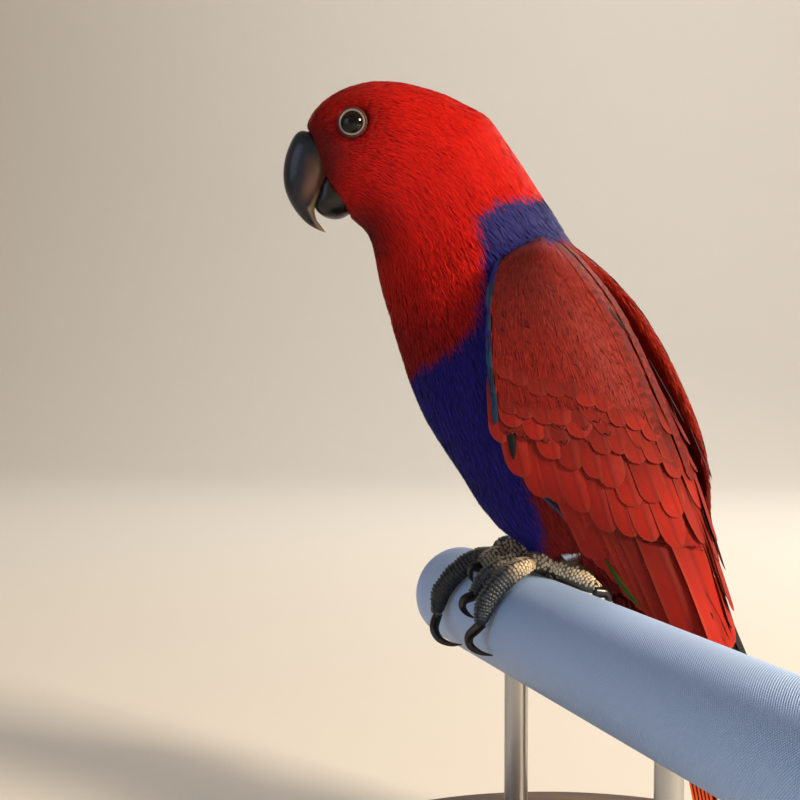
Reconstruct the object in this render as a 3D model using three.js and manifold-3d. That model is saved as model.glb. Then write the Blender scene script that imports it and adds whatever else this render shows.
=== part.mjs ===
// A life-size eclectus parrot, a young female, perched on a short length of round rail
// that a plain display stand carries. Millimetres, +Z up. The bird faces -X and its
// left side faces -Y. The origin is the middle of the model's base, on the floor.
import * as THREE from "three";
import { mergeVertices } from "three/addons/utils/BufferGeometryUtils.js";
import Module from "manifold-3d";

const wasm = await Module();
wasm.setup();

// Driving dimensions
const RAIL_DIAMETER = 43;
const RAIL_TURN = 29.8 * (Math.PI / 180); // the rail's heading, away from square to the bird
const RAIL_PAST_FAR_END = 77; // from between the feet to the rail's far end
const RAIL_PAST_NEAR_END = 254;
const RAIL_HEIGHT = 108; // of its axis above the floor
const CAP_LENGTH = 14;
const CAP_ROUNDING = 6;
const BASE_DIAMETER = 260;
const BASE_THICKNESS = 13;
const BASE_ALONG_RAIL = 62; // from between the feet to the middle of the base
const ROD_DIAMETER = 10;
const ROD_PLACES = { stand_rod_rear: 0, stand_rod_front: 132 };
const COLLAR_DIAMETER = 22;
const COLLAR_HEIGHT = 7;
const HEAD_TURN = 10 * (Math.PI / 180); // the head looks a little to the bird's left
const HEAD_PIVOT_X = -27;
const HEAD_TURN_FROM_Z = 132;
const HEAD_TURN_FULL_Z = 182;
const EYE_RADIUS = 6.4;
const EYE_CENTRE = { x: -68.2, side: 14.3, z: 206.8 };
const RAIL_SIDES = 26;
const GAP = 0.3; // left between two pieces that touch
const CUT = 0.4; // width of a cut that parts the body

const RAIL_RADIUS = RAIL_DIAMETER / 2;
const up = new THREE.Vector3(0, 0, 1);
const alongRail = new THREE.Vector3(Math.sin(RAIL_TURN), -Math.cos(RAIL_TURN), 0);
const acrossRail = new THREE.Vector3(Math.cos(RAIL_TURN), Math.sin(RAIL_TURN), 0);

const colour = {
  head: 0xb3141a, bib: 0x8e1016, belly: 0x241a7a, wing: 0x7d1a17, flight: 0x93201a,
  tail: 0x9a2418, thigh: 0x201868, foot: 0x6e675f, claw: 0x17171a, upperBill: 0x2b2f38,
  lowerBill: 0x1b1c20, eye: 0x0c0a09, band: 0xc9d3da, rail: 0x8295b0, cap: 0x8a9cb5,
  base: 0x4a3324, rod: 0xb8babc,
};

function finish(hex, roughness = 0.7, metalness = 0) {
  return new THREE.MeshStandardMaterial({ color: hex, roughness, metalness });
}

function smoothStep(from, to, value) {
  const t = THREE.MathUtils.clamp((value - from) / (to - from), 0, 1);
  return t * t * (3 - 2 * t);
}

// Solids and how they are cut

function toSolid(geometry) {
  const bare = geometry.clone();
  bare.deleteAttribute("normal");
  bare.deleteAttribute("uv");
  const merged = mergeVertices(bare, 1e-4);
  const vertProperties = new Float32Array(merged.attributes.position.array);
  const triVerts = new Uint32Array(merged.index.array);
  const made = new wasm.Manifold(new wasm.Mesh({ numProp: 3, vertProperties, triVerts }));
  if (made.volume() > 0) return made;
  for (let i = 0; i < triVerts.length; i += 3) {
    [triVerts[i + 1], triVerts[i + 2]] = [triVerts[i + 2], triVerts[i + 1]];
  }
  return new wasm.Manifold(new wasm.Mesh({ numProp: 3, vertProperties, triVerts }));
}

function largest(solid) {
  return solid.decompose().sort((a, b) => b.volume() - a.volume())[0];
}

function cutAway(solid, ...cutters) {
  return largest(cutters.reduce((rest, cutter) => rest.subtract(cutter), solid));
}

function toMesh(name, solid, material) {
  const { numProp, numVert, vertProperties, triVerts } = solid.getMesh();
  const places = new Float32Array(numVert * 3);
  for (let i = 0; i < numVert; i++) {
    places.set(vertProperties.subarray(i * numProp, i * numProp + 3), i * 3);
  }
  const geometry = new THREE.BufferGeometry();
  geometry.setAttribute("position", new THREE.BufferAttribute(places, 3));
  geometry.setIndex(new THREE.BufferAttribute(new Uint32Array(triVerts), 1));
  geometry.computeVertexNormals();
  const mesh = new THREE.Mesh(geometry, material);
  mesh.name = name;
  return mesh;
}

// A grid geometry with each point moved to where shape(u, v) says, from its texture place.
function formed(geometry, shape) {
  const places = geometry.attributes.position;
  const uv = geometry.attributes.uv;
  for (let i = 0; i < places.count; i++) {
    const p = shape(uv.getX(i), 1 - uv.getY(i));
    places.setXYZ(i, p.x, p.y, p.z);
  }
  return geometry;
}

function through(stations, pick) {
  return new THREE.CatmullRomCurve3(stations.map(pick), false, "centripetal");
}

function signedPower(value, power) {
  return Math.sign(value) * Math.abs(value) ** power;
}

// A closed form hung between a belly line and a back line in the XZ plane. Each station is
// [belly x, belly z, back x, back z, half width]; the first and last shrink to a point.
function sideForm(stations, rings, sides, { grow = 0, squareness = 2.2, bend = (p) => p } = {}) {
  const belly = through(stations, (s) => new THREE.Vector3(s[0], 0, s[1]));
  const back = through(stations, (s) => new THREE.Vector3(s[2], 0, s[3]));
  const girth = through(stations, (s) => new THREE.Vector3(s[4], 0, 0));
  const shape = (u, v) => {
    const t = (v + (1 - Math.cos(Math.PI * v)) / 2) / 2;
    const [low, high] = [belly.getPoint(t), back.getPoint(t)];
    const middle = low.clone().add(high).multiplyScalar(0.5);
    const reach = high.clone().sub(low).multiplyScalar(0.5);
    if (v < 1e-6 || v > 1 - 1e-6) return bend(middle);
    const open = reach.length();
    reach.multiplyScalar((open + grow) / open);
    const angle = 2 * Math.PI * u;
    const across = signedPower(Math.cos(angle), 2 / squareness);
    const out = signedPower(Math.sin(angle), 2 / squareness);
    middle.addScaledVector(reach, across);
    middle.y += out * (Math.max(girth.getPoint(t).x, 0.05) + grow);
    return bend(middle);
  };
  return toSolid(formed(new THREE.SphereGeometry(1, sides, rings), shape));
}

// A closed limb round a path. radii are its half thicknesses at even steps along the path,
// and level is the direction that its sections are level with.
function limb(path, radii, level, { rings = 10, sides = 8, grow = 0, flat = 1 } = {}) {
  const line = new THREE.CatmullRomCurve3(path, false, "centripetal");
  const thickness = through(radii, (r) => new THREE.Vector3(r, 0, 0));
  const shape = (u, v) => {
    const t = (1 - Math.cos(Math.PI * v)) / 2;
    const tangent = line.getTangent(t);
    const side = level.clone().addScaledVector(tangent, -level.dot(tangent)).normalize();
    const outward = new THREE.Vector3().crossVectors(tangent, side);
    const end = Math.sin(Math.PI * v) ** 0.5;
    const r = (thickness.getPoint(t).x + grow) * end;
    const angle = 2 * Math.PI * u;
    return line.getPoint(t)
      .addScaledVector(side, r * Math.cos(angle))
      .addScaledVector(outward, r * flat * Math.sin(angle))
      .addScaledVector(tangent, grow * (2 * v - 1));
  };
  return toSolid(formed(new THREE.SphereGeometry(1, sides, rings), shape));
}

function ball(radius, place, sides = 12) {
  const geometry = new THREE.SphereGeometry(radius, sides, Math.round(sides * 0.7));
  return toSolid(geometry.translate(place.x, place.y, place.z));
}

// A thin slab that parts the body. It stands across the bird and passes through low and high.
function slab(low, high, reach = 90) {
  const angle = Math.atan2(high.z - low.z, high.x - low.x);
  const geometry = new THREE.BoxGeometry(reach * 2, reach * 2, CUT).rotateY(-angle);
  return toSolid(geometry.translate((low.x + high.x) / 2, 0, (low.z + high.z) / 2));
}

// Turns what lies above the neck to the bird's left.
function turnHead(p) {
  const angle = HEAD_TURN * smoothStep(HEAD_TURN_FROM_Z, HEAD_TURN_FULL_Z, p.z);
  const [dx, dy] = [p.x - HEAD_PIVOT_X, p.y];
  p.x = HEAD_PIVOT_X + dx * Math.cos(angle) - dy * Math.sin(angle);
  p.y = dx * Math.sin(angle) + dy * Math.cos(angle);
  return p;
}

// The body: head, neck and trunk as one form, out to the feather tips

const BODY_STATIONS = [
  // belly x, z    back x, z    half width
  [-79, 188, -79, 188, 0], // inside the bill's base
  [-74.2, 172.4, -90.2, 204.4, 9.5], // face
  [-70.1, 168.5, -85.6, 215.4, 15.5],
  [-65.9, 166.1, -73.6, 223.9, 18.8], // forehead
  [-62.8, 162.3, -57.3, 227.2, 20.9], // crown and cheek
  [-60.9, 156.6, -36.8, 223.3, 22.6],
  [-59.7, 148.4, -12.6, 212, 24.3], // hind crown and throat
  [-57.6, 137.5, 4.2, 187, 26.5], // neck
  [-52.8, 123.4, 18, 165.3, 30.5], // nape and upper breast
  [-47.3, 106, 31, 143, 34.5],
  [-40.6, 88, 45, 118, 36.5], // shoulders
  [-30.9, 72.6, 55, 92, 35.5],
  [-20.5, 57.5, 61, 68, 32.5],
  [-10.5, 42, 64.5, 46, 27], // belly and rump
  [6, 31.5, 67.5, 26, 20],
  [28, 22.5, 70, 8, 14.5], // vent
  [42, 9, 71.5, -6, 10.5],
  [60, -12, 60, -12, 0],
];
const body = sideForm(BODY_STATIONS, 26, 16, { bend: turnHead });

// The bill

const UPPER_BILL_STATIONS = [
  // cutting edge x, z    ridge x, z    half width
  [-77, 197, -77, 197, 0],
  [-76.8, 191, -87, 205, 8.4],
  [-78.8, 186.2, -92.8, 205.4, 9.4],
  [-80.6, 183.4, -97, 198.2, 9.4],
  [-82, 180.2, -98.8, 190.1, 8.8],
  [-84, 177, -98.3, 182, 7.4],
  [-85.8, 173.6, -95.1, 174.4, 5.5],
  [-85.2, 169.4, -90.1, 168.2, 3.4],
  [-83.6, 167, -85.5, 165.2, 1.7],
  [-81.3, 163.6, -81.3, 163.6, 0],
];
const LOWER_BILL_STATIONS = [
  // keel x, z    cutting edge x, z    half width
  [-85.8, 174.2, -85.8, 174.2, 0],
  [-84, 171.6, -83.8, 176.8, 4.6],
  [-80.4, 169.6, -81.2, 180.8, 6.8],
  [-75.6, 169.2, -79.4, 186, 8],
  [-71, 171.4, -77, 189, 8.2],
  [-67.6, 176.2, -73.6, 189.6, 7.4],
  [-68, 183, -68, 183, 0],
];

function upperBill(grow) {
  return sideForm(UPPER_BILL_STATIONS, 15, 12, { grow, squareness: 2, bend: turnHead });
}

function lowerBill(grow) {
  return sideForm(LOWER_BILL_STATIONS, 9, 10, { grow, squareness: 2.1, bend: turnHead });
}

// The eyes

function eyePlace(side) {
  return turnHead(new THREE.Vector3(EYE_CENTRE.x, side * EYE_CENTRE.side, EYE_CENTRE.z));
}

// The folded wings: curved plates that wrap the flank from the leading edge to the back

const WING_STATIONS = [
  // leading edge x, z    back edge x, z    half width of the body there    thickness
  [7, 157, 15, 161, 24, 3],
  [-3, 149.5, 27, 151.5, 34, 6],
  [-6.6, 134, 41, 134.5, 40, 8.5],
  [-6.6, 119, 51, 116.5, 42.5, 9],
  [-5.4, 100, 60, 97, 42.8, 8.5],
  [-2.6, 81, 68, 79, 41, 7.5],
  [8, 65.5, 74, 61, 37.5, 6],
  [22, 53, 77.5, 42, 33, 4.6],
  [36.5, 34, 83, 17, 26, 3.4],
  [50, 14, 90.5, -3, 19, 2.6],
  [74, -10, 98.5, -16, 13, 1.8],
  [101, -26, 105, -28, 10, 1],
];
const BACK_EDGE_OFF_MIDDLE = 4;
const FAR_WING_RAISED = 9; // the far wing's back edge stands this much further back
const WING_SQUARENESS = 2.5;

function wing(side, grow = 0) {
  const front = through(WING_STATIONS, (s) => new THREE.Vector3(s[0], 0, s[1]));
  const rear = through(WING_STATIONS, (s) => new THREE.Vector3(s[2], 0, s[3]));
  const girth = through(WING_STATIONS, (s) => new THREE.Vector3(s[4], s[5], 0));
  const raised = side > 0 ? FAR_WING_RAISED : 0;
  const surface = (along, over) => {
    const low = front.getPoint(along);
    const high = rear.getPoint(along);
    const lift = raised * Math.sin(Math.PI * Math.min(along * 1.45, 1)) * over;
    const half = girth.getPoint(along).x;
    const edge = BACK_EDGE_OFF_MIDDLE / half;
    const furthest = (1 - edge ** WING_SQUARENESS) ** (1 / WING_SQUARENESS);
    const s = over * furthest;
    const p = low.lerp(high, s);
    p.x += lift;
    p.y = side * half * (1 - s ** WING_SQUARENESS) ** (1 / WING_SQUARENESS);
    return p;
  };
  const rows = 16;
  const columns = 6;
  const step = 1e-3;
  const geometry = new THREE.BoxGeometry(1, 1, 1, rows, columns, 1);
  const places = geometry.attributes.position;
  for (let i = 0; i < places.count; i++) {
    const along = THREE.MathUtils.clamp(places.getX(i) + 0.5, 0, 1);
    const even = THREE.MathUtils.clamp(places.getY(i) + 0.5, 0, 1);
    const over = Math.sin((even * Math.PI) / 2);
    const p = surface(along, over);
    const a = Math.min(along, 1 - step);
    const o = Math.min(over, 1 - step);
    const here = surface(a, o);
    const downWing = surface(a + step, o).sub(here);
    const overWing = surface(a, o + step).sub(here);
    const inward = new THREE.Vector3().crossVectors(downWing, overWing).normalize();
    if (inward.y * side > 0) inward.negate();
    const rim = 0.35 + 0.65 * Math.sin(Math.PI * (0.06 + 0.88 * even));
    const thickness = girth.getPoint(along).y * rim;
    const inner = places.getZ(i) < 0;
    p.addScaledVector(inward, inner ? thickness + grow : -grow);
    const outAlong = downWing.normalize().multiplyScalar(grow);
    if (along === 0) p.sub(outAlong);
    if (along === 1) p.add(outAlong);
    const outOver = overWing.normalize().multiplyScalar(grow);
    if (even === 0) p.sub(outOver);
    if (even === 1) p.add(outOver);
    places.setXYZ(i, p.x, p.y, p.z);
  }
  return toSolid(geometry);
}

// The tail: long feathers laid on each other, flat across and a little roofed

const TAIL_STATIONS = [
  // underside x, z    upper side x, z    half width
  [50, 34, 50, 34, 0],
  [42, 20, 62, 26, 11],
  [44, 8, 66, 12, 13.5],
  [51, -12, 71, -8, 16],
  [62, -40, 78.5, -36, 18.5],
  [72, -64, 84.5, -61, 20.5],
  [78.6, -79, 87.4, -77, 21],
  [80.4, -84, 87.4, -82.6, 17],
  [84, -85, 84, -85, 0],
];
const TAIL_ROOF = 0.11; // how far the edges droop, as a share of the distance out
const TAIL_THINNING = 0.62;

function tail(grow = 0) {
  const roof = (p) => {
    p.x -= Math.abs(p.y) * TAIL_ROOF * 2;
    return p;
  };
  const stations = TAIL_STATIONS.map(([ux, uz, tx, tz, half]) => {
    const thin = 1 - TAIL_THINNING * smoothStep(20, -50, (uz + tz) / 2);
    const [mx, mz] = [(ux + tx) / 2 + 2, (uz + tz) / 2];
    return [mx + (ux - mx) * thin, mz + (uz - mz) * thin, mx + (tx - mx) * thin, mz + (tz - mz) * thin, half];
  });
  return sideForm(stations, 15, 12, { grow, squareness: 2.4, bend: roof });
}

// The legs and feet. A place on the rail is a distance along it from between the feet, an
// angle round it from the back (90 degrees is the top, 180 the front) and a distance out.

function onRail(along, degrees, out) {
  const angle = THREE.MathUtils.degToRad(degrees);
  return new THREE.Vector3()
    .addScaledVector(alongRail, along)
    .addScaledVector(acrossRail, Math.cos(angle) * out)
    .addScaledVector(up, Math.sin(angle) * out);
}

const FEET = {
  left: {
    along: 15, padAngle: 78, outward: 1, heel: [34, -14, 40.5], hip: [17, -21, 68], knee: [3.5, -13.5, 40.5],
    // each toe from its root to its tip, as [distance from the foot's middle, angle]
    toes: {
      outer_front: [[3, 92], [7.6, 118], [8.4, 148], [8.8, 172]],
      inner_front: [[-3.2, 93], [-5.8, 112], [-7, 132], [-7, 149]],
      outer_rear: [[3.4, 72], [9.5, 63], [17, 53], [25.5, 46]],
      inner_rear: [[-3, 66], [-5, 52], [-6, 38], [-6.4, 24]],
    },
  },
  right: {
    along: -15, padAngle: 84, outward: -1, heel: [19, 13, 41.5], hip: [13, 21, 68], knee: [1, 13.5, 41.5],
    toes: {
      outer_front: [[2.4, 98], [4, 124], [9.6, 156], [12.6, 184]],
      inner_front: [[-3.4, 96], [-5.2, 104], [-5.8, 112], [-6.2, 120]],
      outer_rear: [[3.4, 76], [8, 62], [13, 46], [16, 30]],
      inner_rear: [[-3, 70], [-5, 54], [-6, 38], [-6.4, 24]],
    },
  },
};
const PAD_RADIUS = 6;
const TOES = {
  outer_front: { radii: [5, 4.5, 4.3, 3.8], claw: 11 },
  inner_front: { radii: [4.7, 4.3, 4, 3.5], claw: 8 },
  outer_rear: { radii: [5, 4.6, 4.3, 3.7], claw: 10 },
  inner_rear: { radii: [4.7, 4.2, 3.9, 3.4], claw: 8 },
};
const CLAW_RADII = [2.6, 2.5, 2.1, 1.5, 0.7];
const CLAW_STANDS_OFF = [3.4, 7, 8.6, 7, 2.4]; // above the rail at even steps
const CLAW_DRIFT = { left: [0, -3, -4.5, -2.5, 1.5], right: [0, 1.5, 5, 9, 12] };

function toe(foot, kind, grow = 0) {
  const { radii } = TOES[kind];
  const path = foot.toes[kind].map(([shift, angle], i) => {
    return onRail(foot.along + foot.outward * shift, angle, RAIL_RADIUS + radii[i] + GAP * 2);
  });
  return limb(path, radii, alongRail, { grow, rings: 8, sides: 7 });
}

function claw(side, kind) {
  const foot = FEET[side];
  const [shift, angle] = foot.toes[kind].at(-1);
  const heading = Math.sign(angle - foot.toes[kind][0][1]);
  const sweep = THREE.MathUtils.radToDeg(TOES[kind].claw / (RAIL_RADIUS + 5));
  const path = CLAW_STANDS_OFF.map((off, i) => {
    const t = i / (CLAW_STANDS_OFF.length - 1);
    const drift = kind === "outer_front" ? CLAW_DRIFT[side][i] : 0;
    const along = foot.along + foot.outward * shift + drift;
    return onRail(along, angle + heading * (5 + sweep * t), RAIL_RADIUS + off);
  });
  return limb(path, CLAW_RADII, alongRail, { rings: 7, sides: 6 });
}

function vector([x, y, z]) {
  return new THREE.Vector3(x, y, z);
}

function footPad(foot, grow = 0) {
  const path = [13, 0, -13].map((turn) => {
    return onRail(foot.along, foot.padAngle + turn, RAIL_RADIUS + PAD_RADIUS + GAP * 2);
  });
  const radii = [PAD_RADIUS, PAD_RADIUS, PAD_RADIUS];
  return limb(path, radii, alongRail, { grow, rings: 7, sides: 9 });
}

function tarsusLine(foot) {
  const start = onRail(foot.along, foot.padAngle - 6, RAIL_RADIUS + PAD_RADIUS);
  return { start, heel: vector(foot.heel) };
}

const TARSUS_RADII = [4.6, 4.1, 4, 4.4, 5];

function tarsus(foot, grow = 0) {
  const { start, heel } = tarsusLine(foot);
  const middle = start.clone().lerp(heel, 0.5).add(new THREE.Vector3(0.6, 0, -0.8));
  return limb([start, middle, heel], TARSUS_RADII, alongRail, { grow, rings: 7, sides: 8 });
}

const THIGH_RADII = [12, 13, 12.5, 11, 9];

function thigh(foot, grow = 0) {
  const [hip, knee] = [vector(foot.hip), vector(foot.knee)];
  const path = [hip, hip.clone().lerp(knee, 0.5), knee];
  return limb(path, THIGH_RADII, alongRail, { grow, rings: 8, sides: 10 });
}

// The leg band: an open-ended metal ring round the left tarsus

const BAND = { outer: 7.2, inner: 6.3, width: 7.4, place: 0.52 };

function legBand(foot, { filled = false, grow = 0 } = {}) {
  const { start, heel } = tarsusLine(foot);
  const axis = heel.clone().sub(start).normalize();
  const [half, outer] = [BAND.width / 2 + grow, BAND.outer + grow];
  const inner = filled ? 0 : BAND.inner;
  const outline = [[inner, -half], [outer, -half], [outer, half], [inner, half]];
  if (!filled) outline.push([inner, -half]);
  const profile = outline.map(([r, h]) => new THREE.Vector2(r, h));
  const geometry = new THREE.LatheGeometry(profile, 18);
  geometry.applyQuaternion(new THREE.Quaternion().setFromUnitVectors(new THREE.Vector3(0, 1, 0), axis));
  const place = start.lerp(heel, BAND.place);
  return toSolid(geometry.translate(place.x, place.y, place.z));
}

// The perch and its stand

function railBetween(from, to, radius) {
  const geometry = new THREE.CylinderGeometry(radius, radius, to - from, RAIL_SIDES);
  return placedOnRail(geometry, (from + to) / 2);
}

function placedOnRail(geometry, along) {
  const turn = new THREE.Quaternion().setFromUnitVectors(new THREE.Vector3(0, 1, 0), alongRail);
  const place = alongRail.clone().multiplyScalar(along);
  return toSolid(geometry.applyQuaternion(turn).translate(place.x, place.y, place.z));
}

function endCap(end, heading) {
  const profile = [new THREE.Vector2(0, 0), new THREE.Vector2(RAIL_RADIUS, 0)];
  const corner = new THREE.Vector2(RAIL_RADIUS - CAP_ROUNDING, CAP_LENGTH - CAP_ROUNDING);
  for (let i = 0; i <= 3; i++) {
    const angle = (i / 3) * (Math.PI / 2);
    const round = new THREE.Vector2(Math.cos(angle), Math.sin(angle)).multiplyScalar(CAP_ROUNDING);
    profile.push(corner.clone().add(round));
  }
  profile.push(new THREE.Vector2(0, CAP_LENGTH));
  const geometry = new THREE.LatheGeometry(profile, RAIL_SIDES);
  if (heading < 0) geometry.rotateZ(Math.PI);
  return placedOnRail(geometry, end - heading * CAP_LENGTH);
}

function upright(radius, bottom, top, along, sides = 16) {
  const geometry = new THREE.CylinderGeometry(radius, radius, top - bottom, sides).rotateX(Math.PI / 2);
  const place = alongRail.clone().multiplyScalar(along);
  return toSolid(geometry.translate(place.x, place.y, (top + bottom) / 2));
}

function standBase() {
  const edge = 3;
  const r = BASE_DIAMETER / 2;
  const profile = [
    [0, 0], [r - 1, 0], [r, 1], [r, BASE_THICKNESS - edge],
    [r - edge * 0.3, BASE_THICKNESS - edge * 0.3], [r - edge, BASE_THICKNESS], [0, BASE_THICKNESS],
  ].map(([x, y]) => new THREE.Vector2(x, y));
  const geometry = new THREE.LatheGeometry(profile, 40).rotateX(Math.PI / 2);
  const place = alongRail.clone().multiplyScalar(BASE_ALONG_RAIL);
  return toSolid(geometry.translate(place.x, place.y, -RAIL_HEIGHT));
}

// Everything put together, with each piece cut back from the one it meets

function buildParrot() {
  const group = new THREE.Group();
  const add = (name, solid, material) => group.add(toMesh(name, solid, material));

  const wings = { left: wing(-1), right: wing(1) };
  const wingCutters = [-1, 1].map((side) => wing(side, GAP).add(wing(side)));
  const eyes = { left: ball(EYE_RADIUS, eyePlace(-1)), right: ball(EYE_RADIUS, eyePlace(1)) };
  const sockets = [-1, 1].map((side) => ball(EYE_RADIUS + GAP, eyePlace(side)));
  const tailForm = tail();
  const tailCutter = tail(GAP);
  const rail = railBetween(
    -RAIL_PAST_FAR_END + CAP_LENGTH + GAP, RAIL_PAST_NEAR_END - CAP_LENGTH - GAP, RAIL_RADIUS);
  const railClearance = railBetween(-RAIL_PAST_FAR_END, RAIL_PAST_NEAR_END, RAIL_RADIUS + GAP);

  const bandClearance = legBand(FEET.left, { filled: true, grow: GAP });
  const legParts = {};
  const legCutters = [];
  for (const [side, foot] of Object.entries(FEET)) {
    const pad = cutAway(footPad(foot), railClearance);
    const shank = cutAway(tarsus(foot), footPad(foot, GAP), railClearance);
    const toes = {};
    const madeBefore = [footPad(foot, GAP), tarsus(foot, GAP)];
    for (const kind of Object.keys(TOES)) {
      toes[kind] = cutAway(toe(foot, kind), ...madeBefore, railClearance, bandClearance);
      madeBefore.push(toe(foot, kind, GAP));
    }
    legParts[side] = { pad, shank, toes };
    legCutters.push(...madeBefore);
  }
  const cutters = [...wingCutters, ...sockets, upperBill(GAP), lowerBill(GAP), ...legCutters];
  const thighs = {};
  for (const [side, foot] of Object.entries(FEET)) {
    thighs[side] = cutAway(thigh(foot), ...wingCutters, ...legCutters, railClearance, bandClearance);
    cutters.push(thigh(foot, GAP));
  }
  const whole = cutAway(body, ...cutters, tailCutter, railClearance, bandClearance);
  const headCut = slab({ x: -63, z: 157 }, { x: -12, z: 205 });
  const neckCut = slab({ x: -52, z: 121 }, { x: 17, z: 165 });
  const upward = (a, b) => b.boundingBox().max[2] - a.boundingBox().max[2];
  const [head, belowHead] = whole.subtract(headCut).decompose().sort(upward);
  const [neck, trunk] = belowHead.subtract(neckCut).decompose().sort(upward);

  add("head", head, finish(colour.head));
  add("neck", neck, finish(colour.bib));
  add("trunk", trunk, finish(colour.belly));
  add("upper_bill", upperBill(0), finish(colour.upperBill, 0.3));
  add("lower_bill", cutAway(lowerBill(0), upperBill(GAP)), finish(colour.lowerBill, 0.35));
  for (const side of ["left", "right"]) {
    add(side + "_eye", eyes[side], finish(colour.eye, 0.05));
  }
  add("tail", cutAway(tailForm, ...wingCutters, railClearance), finish(colour.tail));

  for (const side of ["left", "right"]) {
    const coversCut = slab({ x: 30, z: 42 }, { x: 84, z: 32 });
    const [covers, flight] = wings[side].subtract(coversCut).decompose().sort(upward);
    add(side + "_wing_coverts", covers, finish(colour.wing));
    add(side + "_wing_flight", flight, finish(colour.flight));
  }

  for (const [side, foot] of Object.entries(FEET)) {
    const { pad, shank, toes } = legParts[side];
    add(side + "_thigh", thighs[side], finish(colour.thigh));
    add(side + "_tarsus", shank, finish(colour.foot));
    add(side + "_foot", pad, finish(colour.foot));
    for (const kind of Object.keys(TOES)) {
      add(`${side}_toe_${kind}`, toes[kind], finish(colour.foot));
      const nail = cutAway(claw(side, kind), toe(foot, kind, GAP), railClearance);
      add(`${side}_claw_${kind}`, nail, finish(colour.claw, 0.25));
    }
  }
  add("leg_band", legBand(FEET.left), finish(colour.band, 0.3, 1));

  add("perch_rail", rail, finish(colour.rail, 0.5));
  add("perch_cap_far", endCap(-RAIL_PAST_FAR_END, -1), finish(colour.cap, 0.5));
  add("perch_cap_near", endCap(RAIL_PAST_NEAR_END, 1), finish(colour.cap, 0.5));
  const baseTop = -RAIL_HEIGHT + BASE_THICKNESS;
  add("stand_base", standBase(), finish(colour.base, 0.5));
  for (const [name, along] of Object.entries(ROD_PLACES)) {
    const collarTop = baseTop + GAP + COLLAR_HEIGHT;
    const rod = upright(ROD_DIAMETER / 2, collarTop + GAP, 0, along);
    add(name, cutAway(rod, railClearance), finish(colour.rod, 0.3, 1));
    const collar = upright(COLLAR_DIAMETER / 2, baseTop + GAP, collarTop, along, 20);
    add(name.replace("rod", "collar"), collar, finish(colour.rod, 0.3, 1));
  }
  return group;
}

const parrot = buildParrot();
const extent = new THREE.Box3().setFromObject(parrot);
parrot.position.set(
  -(extent.min.x + extent.max.x) / 2, -(extent.min.y + extent.max.y) / 2, -extent.min.z);

export default parrot;
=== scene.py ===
# %% [markdown]
# # A parrot, feather by feather
# The solids of this model come from the CAD part and say where everything is. This lesson
# puts a bird on them: one skin, a coat of separate feathers laid the way real ones lie, a
# bill, eyes, scaly feet and the rail it grips. Lengths are in millimetres from the point of
# the rail's axis between the feet, and turn into metres when a mesh is made.

# %% Load the solids and measure them
import math
import bpy
import numpy as np
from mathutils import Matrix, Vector
from mathutils.bvhtree import BVHTree


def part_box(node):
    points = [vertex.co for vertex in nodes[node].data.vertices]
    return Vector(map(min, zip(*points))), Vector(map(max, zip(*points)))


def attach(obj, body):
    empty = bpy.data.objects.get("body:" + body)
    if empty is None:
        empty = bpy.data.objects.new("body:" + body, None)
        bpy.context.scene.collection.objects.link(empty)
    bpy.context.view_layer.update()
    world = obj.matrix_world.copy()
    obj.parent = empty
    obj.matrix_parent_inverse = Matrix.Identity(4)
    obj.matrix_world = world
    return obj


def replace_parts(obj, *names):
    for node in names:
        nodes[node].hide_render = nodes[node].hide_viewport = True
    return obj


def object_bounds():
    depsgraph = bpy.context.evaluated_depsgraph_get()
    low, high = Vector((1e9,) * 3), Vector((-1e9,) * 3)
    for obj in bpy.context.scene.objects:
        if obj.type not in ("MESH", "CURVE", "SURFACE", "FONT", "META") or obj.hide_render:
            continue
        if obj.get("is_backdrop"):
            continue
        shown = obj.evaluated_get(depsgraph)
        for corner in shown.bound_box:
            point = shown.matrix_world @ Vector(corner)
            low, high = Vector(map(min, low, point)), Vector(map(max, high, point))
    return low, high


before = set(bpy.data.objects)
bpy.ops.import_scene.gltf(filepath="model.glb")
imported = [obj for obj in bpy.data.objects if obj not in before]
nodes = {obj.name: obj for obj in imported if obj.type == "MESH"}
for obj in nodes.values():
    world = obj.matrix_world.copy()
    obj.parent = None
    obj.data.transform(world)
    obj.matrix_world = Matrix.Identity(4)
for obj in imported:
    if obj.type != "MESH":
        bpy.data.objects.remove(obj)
cad_low, cad_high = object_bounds()
bpy.ops.object.select_all(action="DESELECT")
print(len(nodes), "solids, from", tuple(cad_low), "to", tuple(cad_high))

# %% [markdown]
# The rail gives the model its origin. Its heading is known, and so is how far its middle
# lies from the feet, so the point between the feet is one step along it.

# %% Find the point between the feet
RAIL_TURN = math.radians(29.8)
RAIL_MIDDLE = 88.5
RAIL_RADIUS = 21.5
ALONG = np.array([math.sin(RAIL_TURN), -math.cos(RAIL_TURN), 0])
ACROSS = np.array([math.cos(RAIL_TURN), math.sin(RAIL_TURN), 0])
UP = np.array([0, 0, 1.0])


def middle_of(node):
    low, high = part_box(node)
    return np.array((low + high) / 2) * 1000


FEET = middle_of("perch_rail") - ALONG * RAIL_MIDDLE


def to_frame(points):
    return (np.asarray(points, float) + FEET) / 1000


def to_local(points):
    return np.asarray(points, float) * 1000 - FEET


def on_rail(along, degrees, out):
    a = math.radians(degrees)
    return ALONG * along + ACROSS * (math.cos(a) * out) + UP * (math.sin(a) * out)


print("between the feet", FEET.round(1))

# %% [markdown]
# ## Small tools
# Colours are written the way a paint chart gives them, as sRGB hex, and one function turns
# them to the linear numbers that a renderer mixes.

# %% Colour and node helpers
def linear(hex_code):
    s = np.array([int(hex_code[i:i + 2], 16) for i in (0, 2, 4)]) / 255
    return np.where(s <= 0.04045, s / 12.92, ((s + 0.055) / 1.055) ** 2.4)


def rgba(hex_code):
    return (*linear(hex_code), 1.0)


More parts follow.
